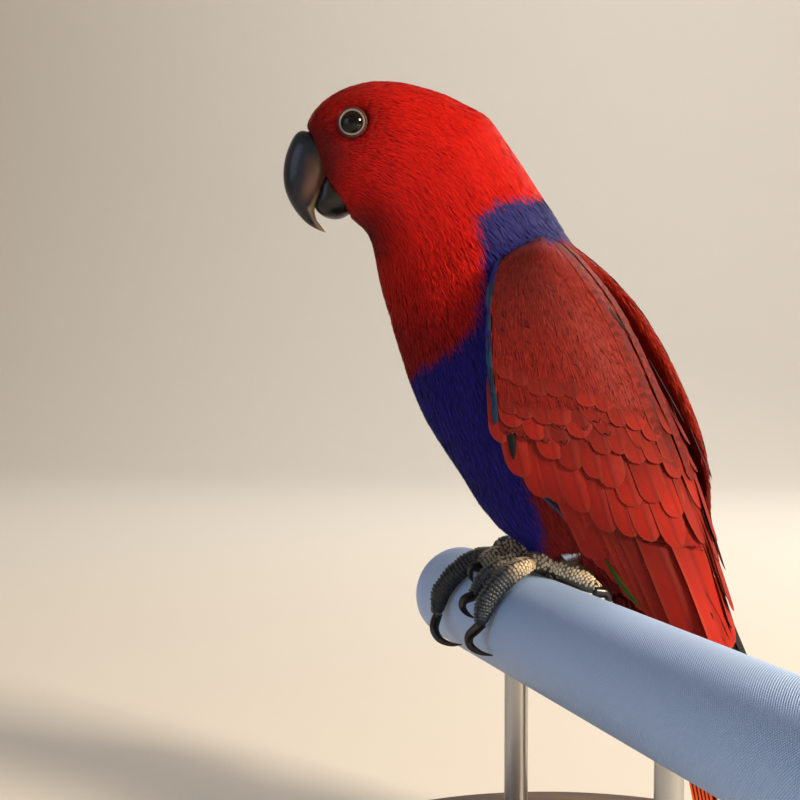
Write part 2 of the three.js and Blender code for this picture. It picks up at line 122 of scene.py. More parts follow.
def same(colour, n):
    return colour[None].repeat(n, 0)


def step(low, high, value):
    t = np.clip((value - low) / (high - low), 0, 1)
    return t * t * (3 - 2 * t)


def mix(a, b, t):
    return a + (b - a) * np.asarray(t)[..., None]


def unit(v):
    return v / np.maximum(np.linalg.norm(v, axis=-1, keepdims=True), 1e-9)


def node(tree, kind, settings=(), links=()):
    made = tree.nodes.new(kind)
    for key, value in dict(settings).items():
        if isinstance(key, int) or key in made.inputs:
            made.inputs[key].default_value = value
        else:
            setattr(made, key, value)
    for key, source in dict(links).items():
        tree.links.new(source, made.inputs[key])
    return made


def material(name, settings, marked=False):
    """A material of one colour, or one that takes its colour from the Markings."""
    made = bpy.data.materials.new(name)
    made.use_nodes = True
    shader = made.node_tree.nodes["Principled BSDF"]
    for key, value in settings.items():
        shader.inputs[key].default_value = value
    if marked:
        marks = node(made.node_tree, "ShaderNodeVertexColor", {"layer_name": "Markings"})
        made.node_tree.links.new(marks.outputs["Color"], shader.inputs["Base Color"])
    return made, made.node_tree, shader


# %% [markdown]
# A mesh built from arrays takes one call. Quads are kept as quads, and the colours ride on
# the points as an attribute called Markings, so that no picture is needed anywhere.

# %% Meshes from arrays
def piece_from(name, points, faces, finish, colours=None, uv=None, vane=None):
    faces = np.asarray(faces, np.int32)
    mesh = bpy.data.meshes.new(name)
    mesh.vertices.add(len(points))
    mesh.vertices.foreach_set("co", to_frame(points).astype(np.float32).ravel())
    sides = faces.shape[1]
    mesh.loops.add(faces.size)
    mesh.loops.foreach_set("vertex_index", faces.ravel())
    mesh.polygons.add(len(faces))
    mesh.polygons.foreach_set("loop_start", np.arange(len(faces), dtype=np.int32) * sides)
    mesh.update(calc_edges=True)
    if colours is not None:
        paint(mesh, colours)
    for label, values in (("OFBake", uv), ("Vane", vane)):
        if values is not None:
            layer = mesh.uv_layers.new(name=label)
            layer.data.foreach_set("uv", values[faces.ravel()].astype(np.float32).ravel())
    mesh.polygons.foreach_set("use_smooth", np.full(len(faces), True))
    mesh.materials.append(finish)
    made = bpy.data.objects.new(name, mesh)
    bpy.context.scene.collection.objects.link(made)
    return made


def paint(mesh, colours):
    full = np.ones((len(mesh.vertices), 4), np.float32)
    full[:, :3] = np.clip(colours, 0, 1)
    attribute = mesh.color_attributes.new(name="Markings", type="FLOAT_COLOR", domain="POINT")
    attribute.data.foreach_set("color", full.ravel())


def arrays_of(thing):
    mesh = thing.data
    co = np.empty(len(mesh.vertices) * 3, np.float32)
    no = np.empty(len(mesh.vertices) * 3, np.float32)
    mesh.vertices.foreach_get("co", co)
    mesh.vertices.foreach_get("normal", no)
    return to_local(co.reshape(-1, 3)), no.reshape(-1, 3).astype(float)


def only(thing):
    bpy.ops.object.select_all(action="DESELECT")
    thing.select_set(True)
    bpy.context.view_layer.objects.active = thing


def apply_modifier(thing, kind, **settings):
    only(thing)
    bpy.ops.object.modifier_add(type=kind)
    modifier = thing.modifiers[-1]
    for key, value in settings.items():
        setattr(modifier, key, value)
    bpy.ops.object.modifier_apply(modifier=modifier.name)


def smooth_by_angle(thing, degrees=40):
    only(thing)
    bpy.ops.object.shade_smooth_by_angle(angle=math.radians(degrees))


# %% [markdown]
# ## One skin
# The flesh solids are copied, swollen a hair so that the thin cuts between them close, and
# joined. A voxel remesh then turns the heap into one skin with no seam.

# %% Join the flesh and remesh it
def copy_of(names, label, swell):
    """The named solids, swollen by some millimetres and joined in one object."""
    copies = []
    for name in names:
        copy = bpy.data.objects.new(label, nodes[name].data.copy())
        copy.data.materials.clear()
        bpy.context.scene.collection.objects.link(copy)
        only(copy)
        bpy.ops.object.mode_set(mode="EDIT")
        bpy.ops.mesh.select_all(action="SELECT")
        bpy.ops.mesh.remove_doubles(threshold=1e-6)
        bpy.ops.transform.shrink_fatten(value=swell / 1000)
        bpy.ops.object.mode_set(mode="OBJECT")
        copies.append(copy)
    only(copies[0])
    for copy in copies:
        copy.select_set(True)
    bpy.ops.object.join()
    made = bpy.context.view_layer.objects.active
    made.name = label
    made.data.name = label
    return made


def tree_of(names):
    """The named solids as one tree, for finding the nearest place on them."""
    points, faces = [], []
    for name in names:
        start = len(points)
        points += [v.co * 1000 - Vector(FEET) for v in nodes[name].data.vertices]
        faces += [[start + i for i in p.vertices] for p in nodes[name].data.polygons]
    return BVHTree.FromPolygons(points, faces)


BODY = ["head", "neck", "trunk", "left_thigh", "right_thigh"]
WINGS = ["left_wing_coverts", "right_wing_coverts"]
LEGS = [n for n in nodes if "tarsus" in n or "_toe_" in n or n.endswith("_foot")]
legs = copy_of(LEGS, "legs", 0.45)
skin = copy_of(BODY + WINGS, "skin", 0.35)
legs.select_set(True)
bpy.ops.object.join()
apply_modifier(skin, "REMESH", mode="VOXEL", voxel_size=0.00135)
apply_modifier(skin, "SMOOTH", factor=0.5, iterations=5)
print("joined flesh:", len(skin.data.vertices), "points")

# %% [markdown]
# The skin has to lie under the coat. Each point asks which solid is nearest, and moves
# inwards by the depth of coat there: little on the head, most on the breast, and nothing on
# the feet. Where the flesh is thin it moves less, so that it never turns inside out. First
# the body is smoothed once more, to take the flat facets of the solids out of its outline.

# %% How deep the coat is
def distances(tree, points):
    """How far each point is from a tree's surface."""
    return np.array([tree.find_nearest(Vector(p))[3] for p in points])


def regions(points):
    """0 is the body, 1 a wing and 2 a leg or foot."""
    near = [distances(tree, points) for tree in (body_tree, wing_tree, leg_tree)]
    return np.argmin(near, axis=0)


body_tree, wing_tree, leg_tree = tree_of(BODY), tree_of(WINGS), tree_of(LEGS)
bill_tree, band_tree = tree_of(["upper_bill", "lower_bill"]), tree_of(["leg_band"])
outer_region = regions(arrays_of(skin)[0])
trunk = skin.vertex_groups.new(name="trunk")
trunk.add([int(i) for i in np.flatnonzero(outer_region == 0)], 1.0, "REPLACE")
apply_modifier(skin, "SMOOTH", factor=0.5, iterations=45, vertex_group="trunk")
skin.vertex_groups.clear()
outer, outer_normals = arrays_of(skin)
outer_faces = [list(p.vertices) for p in skin.data.polygons]
outer_tree = BVHTree.FromPolygons([Vector(p) for p in outer], outer_faces)


BILL_ROOT = np.array([-84, 0, 190])


def from_bill(points, up=0):
    """How far points lie from the bill's root in the side view, or from a place above it."""
    return np.hypot(points[:, 0] - BILL_ROOT[0], points[:, 2] - BILL_ROOT[2] - up)


def coat_depth(points, region):
    z = points[:, 2]
    depth = 1.5 + 2.6 * (1 - step(120, 190, z))
    depth = depth * (0.45 + 0.55 * step(8, 26, from_bill(points)))
    depth = np.where(region == 1, 2.2, depth)
    depth = np.where((region == 0) & (z < 48), 2.6, depth)
    return np.where(region == 2, 0.1, depth)


def shrink_to_skin(thing):
    """Moves each point in by the coat's depth, but by no more than a third of the thickness there."""
    points, normals = arrays_of(thing)
    depth = coat_depth(points, outer_region)
    for i in range(len(points)):
        n = Vector(normals[i])
        hit = outer_tree.ray_cast(Vector(points[i]) - n * 0.3, -n, 20)
        if hit[3] is not None:
            depth[i] = min(depth[i], 0.32 * (hit[3] + 0.3))
    moved = points - normals * depth[:, None]
    thing.data.vertices.foreach_set("co", to_frame(moved).astype(np.float32).ravel())
    thing.data.update()
    return depth


skin_depth = shrink_to_skin(skin)
apply_modifier(skin, "SMOOTH", factor=0.4, iterations=3)
print("coat depth from", skin_depth.min().round(2), "to", skin_depth.max().round(2), "mm")

# %% [markdown]
# ## Markings
# The plumage is painted by position, with the same function for skin and feathers. The line
# between red and blue was measured on the photo as a few heights, each with how far forward
# the blue comes there.

# %% Where each colour goes
SCARLET = linear("D2170D")
# the deeper red low on the neck and breast, and the dark maroon by the bill, are partly the bird's own colour
# and partly painted shade on their shadow side
BIB_AND_SHADE, FACE = linear("7E080C"), linear("5E070B")
VIOLET, COLLAR = linear("1E157A"), linear("36347C")
VENT, MANTLE = linear("7C130F"), linear("9C2215")
# the feet carry painted light and shade: pale where lit behind the rail's top, dark blue-grey where shaded in
# front, darker still on the far foot
FOOT_PALE_LIT, FOOT_GREY_SHADED = linear("DCCBAA"), linear("2B3744")
FOOT_GROOVE, FOOT_GROOVE_SHADED, FOOT_SHADE = linear("5E5242"), linear("15191E"), linear("20262E")
SKIN_SHADE, WING_SHADE = 0.55, 0.85  # the skin is painted darker than the feathers over it
BLUE_FRONT_Z = [97.5, 99, 105, 112, 120, 138, 154, 166, 172.5, 175, 180]
BLUE_FRONT_X = [-60, -44, -33, -21, -12, -8, -9.5, -12.5, -2.5, 13.5, 60]


def foot_lit_and_shaded(p, back, front):
    """Painted light and shade: one colour where lit behind the rail's top, another where shaded in front of
    it, and painted shade on the far foot.
    """
    angle = np.degrees(np.arctan2(p @ UP, p @ ACROSS))
    out = mix(same(back, len(p)), front, step(98, 126, angle))
    return mix(out, FOOT_SHADE, 0.75 * step(6, 16, p @ -ALONG))


def markings(p, region=None):
    x, z = p[:, 0], p[:, 2]
    # the lower neck and breast darken, partly the bird's deeper red and partly painted shade; the face by the
    # bill likewise
    out = mix(same(SCARLET, len(p)), BIB_AND_SHADE, 0.9 * (1 - step(104, 152, z)))
    out = mix(out, FACE, 0.85 * (1 - step(8, 25, from_bill(p, 4))))
    # painted shadow under the cheek, on the front of the throat
    throat_shadow = (1 - step(162, 180, z)) * step(140, 158, z) * (1 - step(-60, -40, x))
    out = mix(out, BIB_AND_SHADE, 0.95 * throat_shadow)
    blue = step(-1.6, 1.6, x - np.interp(z, BLUE_FRONT_Z, BLUE_FRONT_X))
    out = mix(out, mix(same(VIOLET, len(p)), COLLAR, step(138, 162, z)), blue)
    mantle = step(-2, 3, x - np.interp(z, [60, 90, 120, 150, 157, 163], [45, 38, 25, 12, 22, 60]))
    out = mix(out, MANTLE, mantle)
    vent_front = np.interp(z, [30, 38, 48, 58, 66, 74], [13, 15.5, 12.5, 9, 6, 60])
    out = mix(out, VENT, step(-1.2, 1.2, x - vent_front) * (z < 76))
    if region is not None:
        out = np.where((region == 1)[:, None], MANTLE, out)
        # the bare leg skin takes the same painted light and shade as the scales
        out = np.where((region == 2)[:, None], foot_lit_and_shaded(p, FOOT_GROOVE, FOOT_GROOVE_SHADED) / SKIN_SHADE, out)
    return out


# %% [markdown]
# ## The lie of the feathers
# A bird's feathers all point away from the bill and down to the tail. A line drawn down the
# middle of the body gives that direction, blended between its points, and each feather
# takes the part of it that lies in the surface. The same line unrolls the body into a flat
# map, with the distance along it one way and the angle round it the other.

# %% Direction and unrolled place of any point
SPINE = np.array([[-92, 196], [-62, 199], [-42, 189], [-24, 164], [-6, 132], [12, 98], [30, 62],
                  [48, 26], [66, -14], [84, -60]], float)
SPINE_POINTS = 120
spine_at = np.linspace(0, len(SPINE) - 1, SPINE_POINTS)
SPINE_LINE = np.stack([np.interp(spine_at, range(len(SPINE)), SPINE[:, 0]), np.zeros(SPINE_POINTS),
                       np.interp(spine_at, range(len(SPINE)), SPINE[:, 1])], 1)
SPINE_WAY = unit(np.gradient(SPINE_LINE, axis=0))


def spine_blend(p, reach=14.0):
    """The body's direction at each point, and how far along the body it lies, from 0 to 1."""
    out, place = np.zeros_like(p), np.zeros(len(p))
    block = 20000
    for i in range(0, len(p), block):
        d = np.linalg.norm(p[i:i + block, None] - SPINE_LINE[None], axis=2)
        w = np.exp(-((d - d.min(1, keepdims=True)) ** 2) / (2 * reach ** 2) * 4)
        w /= w.sum(1, keepdims=True)
        out[i:i + block] = w @ SPINE_WAY
        place[i:i + block] = w @ np.linspace(0, 1, SPINE_POINTS)
    return out, place


def lie(p, n):
    """Which way a feather lies at each point: down the body, and away from the bill near it."""
    way, _ = spine_blend(p)
    away = p - BILL_ROOT
    near = 1 - step(16, 34, np.linalg.norm(away, axis=1))
    way = unit(way) + unit(away) * near[:, None] * 1.2
    return unit(way - (way * n).sum(1)[:, None] * n)


MAP_TURN = 0.56  # how much of the map's width one full turn round the body takes


def unrolled(p, region=0):
    """The body fills the left of the map, the wings and the legs each a strip at the right."""
    _, place = spine_blend(p, 8.0)
    at = np.linspace(0, 1, SPINE_POINTS)
    middle = np.stack([np.interp(place, at, SPINE_LINE[:, k]) for k in range(3)], 1)
    way = unit(np.stack([np.interp(place, at, SPINE_WAY[:, k]) for k in range(3)], 1))
    off = p - middle
    back = np.cross(way, [0, -1, 0])
    angle = np.arctan2(off[:, 1], (off * back).sum(1)) / (2 * math.pi)
    body = np.stack([0.02 + MAP_TURN * (angle + 0.5), 0.02 + 0.96 * place], 1)
    strip = np.where(p[:, 1] < 0, 0.62, 0.81)
    wing = np.stack([strip + 0.32 * np.abs(angle), 0.26 + 0.72 * place], 1)
    turn = np.arctan2(p @ UP, p @ ACROSS) / (2 * math.pi) % 1
    leg = np.stack([strip + 0.002 * (p @ ALONG + 45), 0.02 + 0.22 * turn], 1)
    region = np.broadcast_to(region, len(p))[:, None]
    return np.where(region == 0, body, np.where(region == 1, wing, leg))


# %% Paint the skin and unroll it
def skin_uv(thing):
    points, _ = arrays_of(thing)
    flat = unrolled(points, outer_region)
    mesh = thing.data
    corner = np.empty(len(mesh.loops), np.int32)
    mesh.loops.foreach_get("vertex_index", corner)
    uv = flat[corner]
    first = np.empty(len(mesh.polygons), np.int32)
    total = np.empty(len(mesh.polygons), np.int32)
    mesh.polygons.foreach_get("loop_start", first)
    mesh.polygons.foreach_get("loop_total", total)
    home = np.repeat(uv[first, 0], total)
    round_body = (uv[:, 0] < 0.6) & (home < 0.6)
    behind = home - uv[:, 0]
    turns = np.where(behind > 0.3, 1, 0) - np.where(behind < -0.3, 1, 0)
    uv[:, 0] += MAP_TURN * turns * round_body
    layer = mesh.uv_layers.new(name="OFBake")
    layer.data.foreach_set("uv", uv.astype(np.float32).ravel())


# skin is matt, and darker than the barbs, so that it looks like shade where it shows between them
skin_finish, _, _ = material("bird skin", {"Roughness": 0.7}, marked=True)
skin.data.materials.clear()
skin.data.materials.append(skin_finish)
skin_points, _ = arrays_of(skin)
shade = np.where(outer_region == 1, WING_SHADE, SKIN_SHADE)
paint(skin.data, markings(skin_points, outer_region) * shade[:, None])
skin_uv(skin)
only(skin)
bpy.ops.object.shade_smooth()
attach(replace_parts(skin, *BODY, *WINGS, *LEGS), "root")
print("skin:", len(skin.data.polygons), "faces")

# %% [markdown]
# ## Feathers
# Every feather, tiny or long, is a small flat template bent over a centre line. The line
# starts under the surface, follows it, and ends with the tip just proud of the next
# feather, as tiles do on a roof. A template is a list of points, each with how far along and
# how far across it lies, and the quads between them. The body's soft feathers fray into
# single barbs, so there each barb is a piece of its own.

# %% Feather templates
def sliver_template():
    """One soft barb: narrow at the root, widest in the middle, a point at the tip."""
    points = [(0, -0.3), (0, 0.3), (0.45, 1), (0.45, -1), (1, 0.12), (1, -0.12)]
    return np.array(points, float), np.array([[0, 3, 2, 1], [3, 5, 4, 2]])


def vane_template(rows, columns, outline, notch=0.0):
    """A whole vane. outline(s) is its half width, and notch frays the tip."""
    points, faces = [], []
    for i in range(rows + 1):
        s = 1 - (1 - i / rows) ** 1.25
        for j in range(columns + 1):
            c = j / columns * 2 - 1
            points.append((s - notch * (j % 2) * s ** 6, c * outline(s)))
    for i in range(rows):
        for j in range(columns):
            a = i * (columns + 1) + j
            faces.append([a, a + columns + 1, a + columns + 2, a + 1])
    return np.array(points), np.array(faces)


def blunt_end(start, power):
    """Half width of a vane that is full until start, then rounds off."""
    def outline(s):
        rest = max(0.0, s - start) / (1 - start)
        return min(1, 0.3 + 2.2 * s) * max(0.02, 1 - rest ** power) ** (1 / power)
    return outline


# %% [markdown]
# The next function bends a template over many centre lines at once. Three points carry a
# short line: root, middle and tip. The cup makes a vane's edges hug the body, and the roll
# tips it sideways, so that each feather tucks one edge under its neighbour.

# %% Bend a template over centre lines
PATCH = 0.003


def bend(template, stations, normals, width, flat, cup=0.12, roll=0.0):
    """stations and normals are count x k x 3, and width has one number for each feather."""
    shape, faces = template
    count, k = stations.shape[:2]
    s, c = np.clip(shape[:, 0], 0, 1), shape[:, 1]
    at = s * (k - 1)
    low = np.clip(np.floor(at).astype(int), 0, k - 2)
    t = at - low

    def along(values):
        return values[:, low] * (1 - t)[None, :, None] + values[:, low + 1] * t[None, :, None]

    centre = along(stations)
    if k == 3:
        weight = np.stack([(1 - s) * (1 - 2 * s), 4 * s * (1 - s), s * (2 * s - 1)], 1)
        centre = np.einsum("vk,nkc->nvc", weight, stations)
    up = unit(along(normals))
    side = unit(np.cross(up, along(unit(np.gradient(stations, axis=1)))))
    roll = np.broadcast_to(np.asarray(roll, float), (count,))[:, None, None]
    side = side * np.cos(roll) + up * np.sin(roll)
    half = width[:, None, None] / 2
    points = centre + side * c[None, :, None] * half - up * (c * c)[None, :, None] * half * cup
    joined = (faces[None] + (np.arange(count) * len(shape))[:, None, None]).reshape(-1, faces.shape[1])
    uv = flat[:, None, :] + np.stack([c * 0.5, s - 0.5], 1)[None] * PATCH
    return points.reshape(-1, 3), joined, uv.reshape(-1, 2), np.tile(s, count), np.tile(c, count)


def nearest(points):
    """The nearest places on the outline, and which way it faces there."""
    found = [outer_tree.find_nearest(Vector(p)) for p in points]
    return np.array([f[0] for f in found]), unit(np.array([f[1] for f in found]))


def centre_lines(roots, normals, length, depth, tip_rise, turn):
    """Root, middle and tip of each feather, kept to the surface."""
    way = lie(roots, normals)
    way = unit(way + np.cross(normals, way) * turn[:, None])
    middle, n1 = nearest(roots + way * (length / 2)[:, None])
    way1 = unit(way - (way * n1).sum(1)[:, None] * n1)
    tip, n2 = nearest(middle + way1 * (length / 2)[:, None])
    stations = np.stack([roots - normals * depth[:, None],
                         middle + n1 * (tip_rise * 0.6 - depth * 0.25)[:, None],
                         tip + n2 * tip_rise[:, None]], 1)
    return stations, np.stack([normals, n1, n2], 1)


# %% [markdown]
# Roots are spread over the surface by drawing many random places, then keeping one in each
# small cell of a grid. That is quick, and leaves no bald spot and no crowd.

# %% Spread roots over the surface
rng = np.random.default_rng(7)
tri = np.array([[f[0], f[i], f[i + 1]] for f in outer_faces for i in range(1, len(f) - 1)])
corner_a, corner_b, corner_c = (outer[tri[:, i]] for i in range(3))
tri_area = np.linalg.norm(np.cross(corner_b - corner_a, corner_c - corner_a), axis=1) / 2
tri_place = (corner_a + corner_b + corner_c) / 3
tri_region = outer_region[tri[:, 0]]
eye_places = {side: middle_of(side + "_eye") - FEET for side in ("left", "right")}


def spread(spacing, wanted):
    """Roots about spacing apart on the triangles where wanted is true."""
    pick = np.flatnonzero(wanted)
    total = tri_area[pick].sum()
    count = int(total / spacing ** 2 * 7)
    chosen = rng.choice(pick, count, p=tri_area[pick] / total)
    a, b = rng.random((2, count))
    over = a + b > 1
    a[over], b[over] = 1 - a[over], 1 - b[over]
    p = (corner_a[chosen] * (1 - a - b)[:, None] + corner_b[chosen] * a[:, None]
         + corner_c[chosen] * b[:, None])
    n = unit(sum(outer_normals[tri[chosen, i]] for i in range(3)))
    _, keep = np.unique(np.floor(p / spacing).astype(int), axis=0, return_index=True)
    p, n = p[keep], n[keep]
    clear = distances(bill_tree, p) > 0.75
    clear &= (distances(leg_tree, p) > 2.0) & (distances(band_tree, p) > 2.5)
    for place in eye_places.values():
        clear &= np.linalg.norm(p - place, axis=1) > 6.1
    return p[clear], n[clear]


# %% [markdown]
# Feather vanes have a soft sheen and no gloss. Long vanes also carry fine slanted lines, the
# barbs, made as a bump on each vane's own flat map.

# %% Feather materials
def feather_material(name, roughness, sheen, barbs=0.0):
    made, tree, shader = material(name, {"Roughness": roughness, "IOR": 1.55, "Sheen Weight": sheen,
                                         "Sheen Roughness": 0.4, "Specular IOR Level": 0.15}, marked=True)
    if barbs:
        uv = node(tree, "ShaderNodeUVMap", {"uv_map": "Vane"})
        parts = node(tree, "ShaderNodeSeparateXYZ", links={0: uv.outputs["UV"]})
        across = node(tree, "ShaderNodeMath", {"operation": "ABSOLUTE"}, {0: parts.outputs["X"]})
        slant = node(tree, "ShaderNodeMath", {"operation": "MULTIPLY", 1: -0.9}, {0: across.outputs[0]})
        line = node(tree, "ShaderNodeMath", {"operation": "ADD"},
                    {0: parts.outputs["Y"], 1: slant.outputs[0]})
        # lines about 0.6 mm apart: a little coarser than real barbs, so that they show
        joined = node(tree, "ShaderNodeCombineXYZ", links={"X": line.outputs[0]})
        wave = node(tree, "ShaderNodeTexWave", {"Scale": 0.55, "Distortion": 0.6, "Detail": 1.0},
                    {"Vector": joined.outputs[0]})
        bump = node(tree, "ShaderNodeBump", {"Strength": barbs, "Distance": 0.0002},
                    {"Height": wave.outputs["Fac"]})
        tree.links.new(bump.outputs["Normal"], shader.inputs["Normal"])
    return made


soft_feather = feather_material("soft feather", 0.6, 0.04)
firm_feather = feather_material("firm feather", 0.62, 0.02, barbs=0.6)

# %% [markdown]
# ## Head, neck, breast and belly
# The face wears the shortest barbs, and they grow longer down the neck and breast. Each takes
# its colour from where its tip lies, so the border between red and blue frays as it does on
# the bird. A painted sheen on bright tips over painted shade at dark roots gives the silky
# look. Under the barbs lies a layer of broader vanes, painted darker as shade, which hides
# the skin.

# %% Feather the head, neck, breast and belly
def body_coat(name, wanted, spacing, length, width, template, rise, jitter, tilt, contrast=1.0,
              sink=0.0, shade=1.0):
    """Feathers on the wanted triangles, smaller near the bill, the eyes, the legs and the band."""
    p, n = spread(spacing, wanted)
    face = 0.42 + 0.58 * step(6, 44, from_bill(p, 2))
    for place in eye_places.values():
        face = np.minimum(face, 0.34 + 0.66 * step(6, 22, np.linalg.norm(p - place, axis=1)))
    low = np.flatnonzero(p[:, 2] < 55)
    thigh = 1 + 0.35 * (1 - step(40, 62, p[:, 2]))
    thigh[low] *= np.clip(np.minimum(distances(leg_tree, p[low]), distances(band_tree, p[low])) / 11, 0.25, 1)
    size = face * thigh * (0.75 + 0.5 * rng.random(len(p)))
    depth = coat_depth(p, np.zeros(len(p))) * 0.7 + sink
    lift = rise * (0.2 + rng.random(len(p))) * face - sink
    stations, facing = centre_lines(p, n, length * size, depth, lift, jitter * rng.standard_normal(len(p)))
    roll = tilt * rng.standard_normal(len(p))
    points, faces, uv, s, _ = bend(template, stations, facing, width * (0.35 + 0.65 * face), unrolled(p),
                                   roll=roll)
    where = stations[:, 2] + rng.normal(0, 1.3, p.shape)
    tone = np.clip(rng.normal(1.0, 0.2 * contrast, (len(p), 1)), 0.5, 1.6) * shade
    base = np.repeat(markings(where) * tone, len(template[0]), 0)
    bright = contrast * np.repeat(rng.random(len(p)), len(template[0]))[:, None]
    # painted sheen: some barbs' tips are brighter and more orange; painted shade: the roots, under the barbs
    # above, are darker
    warm = 1 + np.array([0.25, 0.7, 0.15]) * step(0.55, 1, s)[:, None] * bright
    root_shade = 1 - 0.65 * contrast * (1 - step(0.05, 0.7, s))
    made = piece_from(name, points, faces, soft_feather, base * warm * root_shade[:, None], uv)
    print(name, len(p), "feathers,", len(made.data.polygons) * 2, "triangles")
    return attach(made, "root")


x, y, z = tri_place.T
on_body = tri_region == 0
blue_line = np.interp(z, BLUE_FRONT_Z, BLUE_FRONT_X)
head_zone = on_body & (z > 158 + (x + 20) * 0.75)
neck_zone = on_body & ~head_zone & (z > 100) & (x < blue_line + 2)
blue_zone = on_body & ~head_zone & ~neck_zone
sliver = sliver_template()
ragged = vane_template(3, 4, blunt_end(0.5, 2), notch=0.12)
for word, half in (("left", y < 0), ("right", y >= 0)):
    # the under layer is painted darker, as shade under the barbs
    body_coat(word + "_under_feathers", on_body & half, 2.9, 8, 6, ragged, 0.0, 0.08, 0.0,
              sink=0.9, shade=0.6)
    body_coat(word + "_head_feathers", head_zone & half, 0.7, 5.4, 0.46, sliver, 0.22, 0.1,
              0.25, contrast=0.5)
    body_coat(word + "_neck_feathers", neck_zone & half, 0.78, 8.4, 0.58, sliver, 0.55, 0.15,
              0.35)
    body_coat(word + "_breast_feathers", blue_zone & half, 0.85, 8.5, 0.7, sliver, 0.5, 0.13,
              0.3, contrast=0.9)

# %% [markdown]
# ## The folded wings
# A folded wing is a curved sheet, so its feathers are laid out on a flat plan: one number
# runs down the wing from shoulder to tip, the other from the front edge to the back. The
# stations below are the ones the solid wing was shaped with. Each gives x and z of the front
# edge, x and z of the back edge, and how far out from the body's middle the wing stands.

# %% The wing's surface
WING = np.array([
    [7, 157, 15, 161, 24], [-3, 149.5, 27, 151.5, 34], [-6.6, 134, 41, 134.5, 40],
    [-6.6, 119, 51, 116.5, 42.5], [-5.4, 100, 60, 97, 42.8], [-2.6, 81, 68, 79, 41],
    [8, 65.5, 74, 61, 37.5], [22, 53, 77.5, 42, 33], [36.5, 34, 83, 17, 26],
    [50, 14, 90.5, -3, 19], [74, -10, 98.5, -16, 13], [101, -26, 105, -28, 10]], float)


def catmull(values, t):
    """A smooth line through rows of values, at t from 0 to 1."""
    n = len(values) - 1
    at = np.clip(t, 0, 1) * n
    i = np.clip(np.floor(at).astype(int), 0, n - 1)
    u = (at - i)[..., None]
    padded = np.vstack([2 * values[0] - values[1], values, 2 * values[-1] - values[-2]])
    a, b, c, d = (padded[i + k] for k in range(4))
    return 0.5 * (2 * b + (c - a) * u + (2 * a - 5 * b + 4 * c - d) * u * u
                  + (3 * b - a - 3 * c + d) * u ** 3)


def wing_surface(side, along, over):
    """Points on the wing. side is -1 for the near, left one and 1 for the far, right one."""
    st = catmull(WING, along)
    half = st[..., 4]
    edge = 4 / half
    s = over * (1 - edge ** 2.5) ** 0.4
    # the far wing reaches further back, so that its edge shows beyond the near one
    back = 9 * np.sin(np.pi * np.minimum(along * 1.45, 1)) * over if side > 0 else 0 * over
    x = st[..., 0] + (st[..., 2] - st[..., 0]) * s + back
    z = st[..., 1] + (st[..., 3] - st[..., 1]) * s
    y = side * half * np.maximum(1 - s ** 2.5, 0) ** 0.4
    return np.stack([x, y, z], -1)


BACK_EDGE = 0.995  # just short of the back edge, where the surface turns too sharply


def wing_map(side):
    """Many places on the wing and which way each faces."""
    along, over = (g.ravel() for g in np.meshgrid(np.linspace(0, 1, 150), np.linspace(0, BACK_EDGE, 80)))
    e = 0.003
    a, o = np.clip(along, e, 1 - e), np.clip(over, e, 1 - e)
    down = wing_surface(side, a + e, o) - wing_surface(side, a - e, o)
    across = wing_surface(side, a, o + e) - wing_surface(side, a, o - e)
    n = unit(np.cross(down, across))
    p = wing_surface(side, along, over)
    out = n[:, 0] * 6 + n[:, 1] * p[:, 1] + n[:, 2] * 3
    return p, n * np.where(out < 0, -1, 1)[:, None]


WING_MAP = {side: wing_map(side) for side in (-1, 1)}


def on_wing(side, x, z):
    """The places on the wing that have this x and z, and which way it faces there."""
    place, facing = WING_MAP[side]
    flat_x, flat_z = np.ravel(x), np.ravel(z)
    best = np.concatenate([
        np.argmin((flat_x[i:i + 500, None] - place[None, :, 0]) ** 2
                  + (flat_z[i:i + 500, None] - place[None, :, 2]) ** 2, axis=1)
        for i in range(0, len(flat_x), 500)])
    p, n = place[best], facing[best]
    steep = np.where(np.abs(n[:, 1]) < 0.35, 0.35 * side, n[:, 1])
    reach = n[:, 0] * (flat_x - p[:, 0]) + n[:, 2] * (flat_z - p[:, 2])
    y = p[:, 1] - np.clip(reach / steep, -1.5, 1.5)
    return np.stack([flat_x, y, flat_z], 1).reshape(*np.shape(x), 3), n.reshape(*np.shape(x), 3)


print("the left wing faces", on_wing(-1, np.array([20.0]), np.array([100.0]))[1].round(2))

# %% [markdown]
# Each row of coverts overlaps the row below it. A feather's own place sets its colour: small
# brown-rimmed scales at the shoulder, brick red vanes lower down. A vane also has a darker
# shaft, a paler worn rim and a shadow near its root, where the row above covers it.

# %% Wing colours and one row of vanes
SHOULDER, SHOULDER_RIM = linear("470D0C"), linear("552218")
COVERT, COVERT_RIM = linear("831B13"), linear("8C2C1D")
SECONDARY, SECONDARY_RIM = linear("941C11"), linear("99301F")
PRIMARY, PRIMARY_EDGE = linear("0E0D12"), linear("3D5F86")
EDGE_BLUE, EDGE_GREEN = linear("173A5C"), linear("3E641A")
TAIL_RED, TAIL_TIP, TAIL_EDGE = linear("8E1A0C"), linear("C9561F"), linear("3C6B2A")


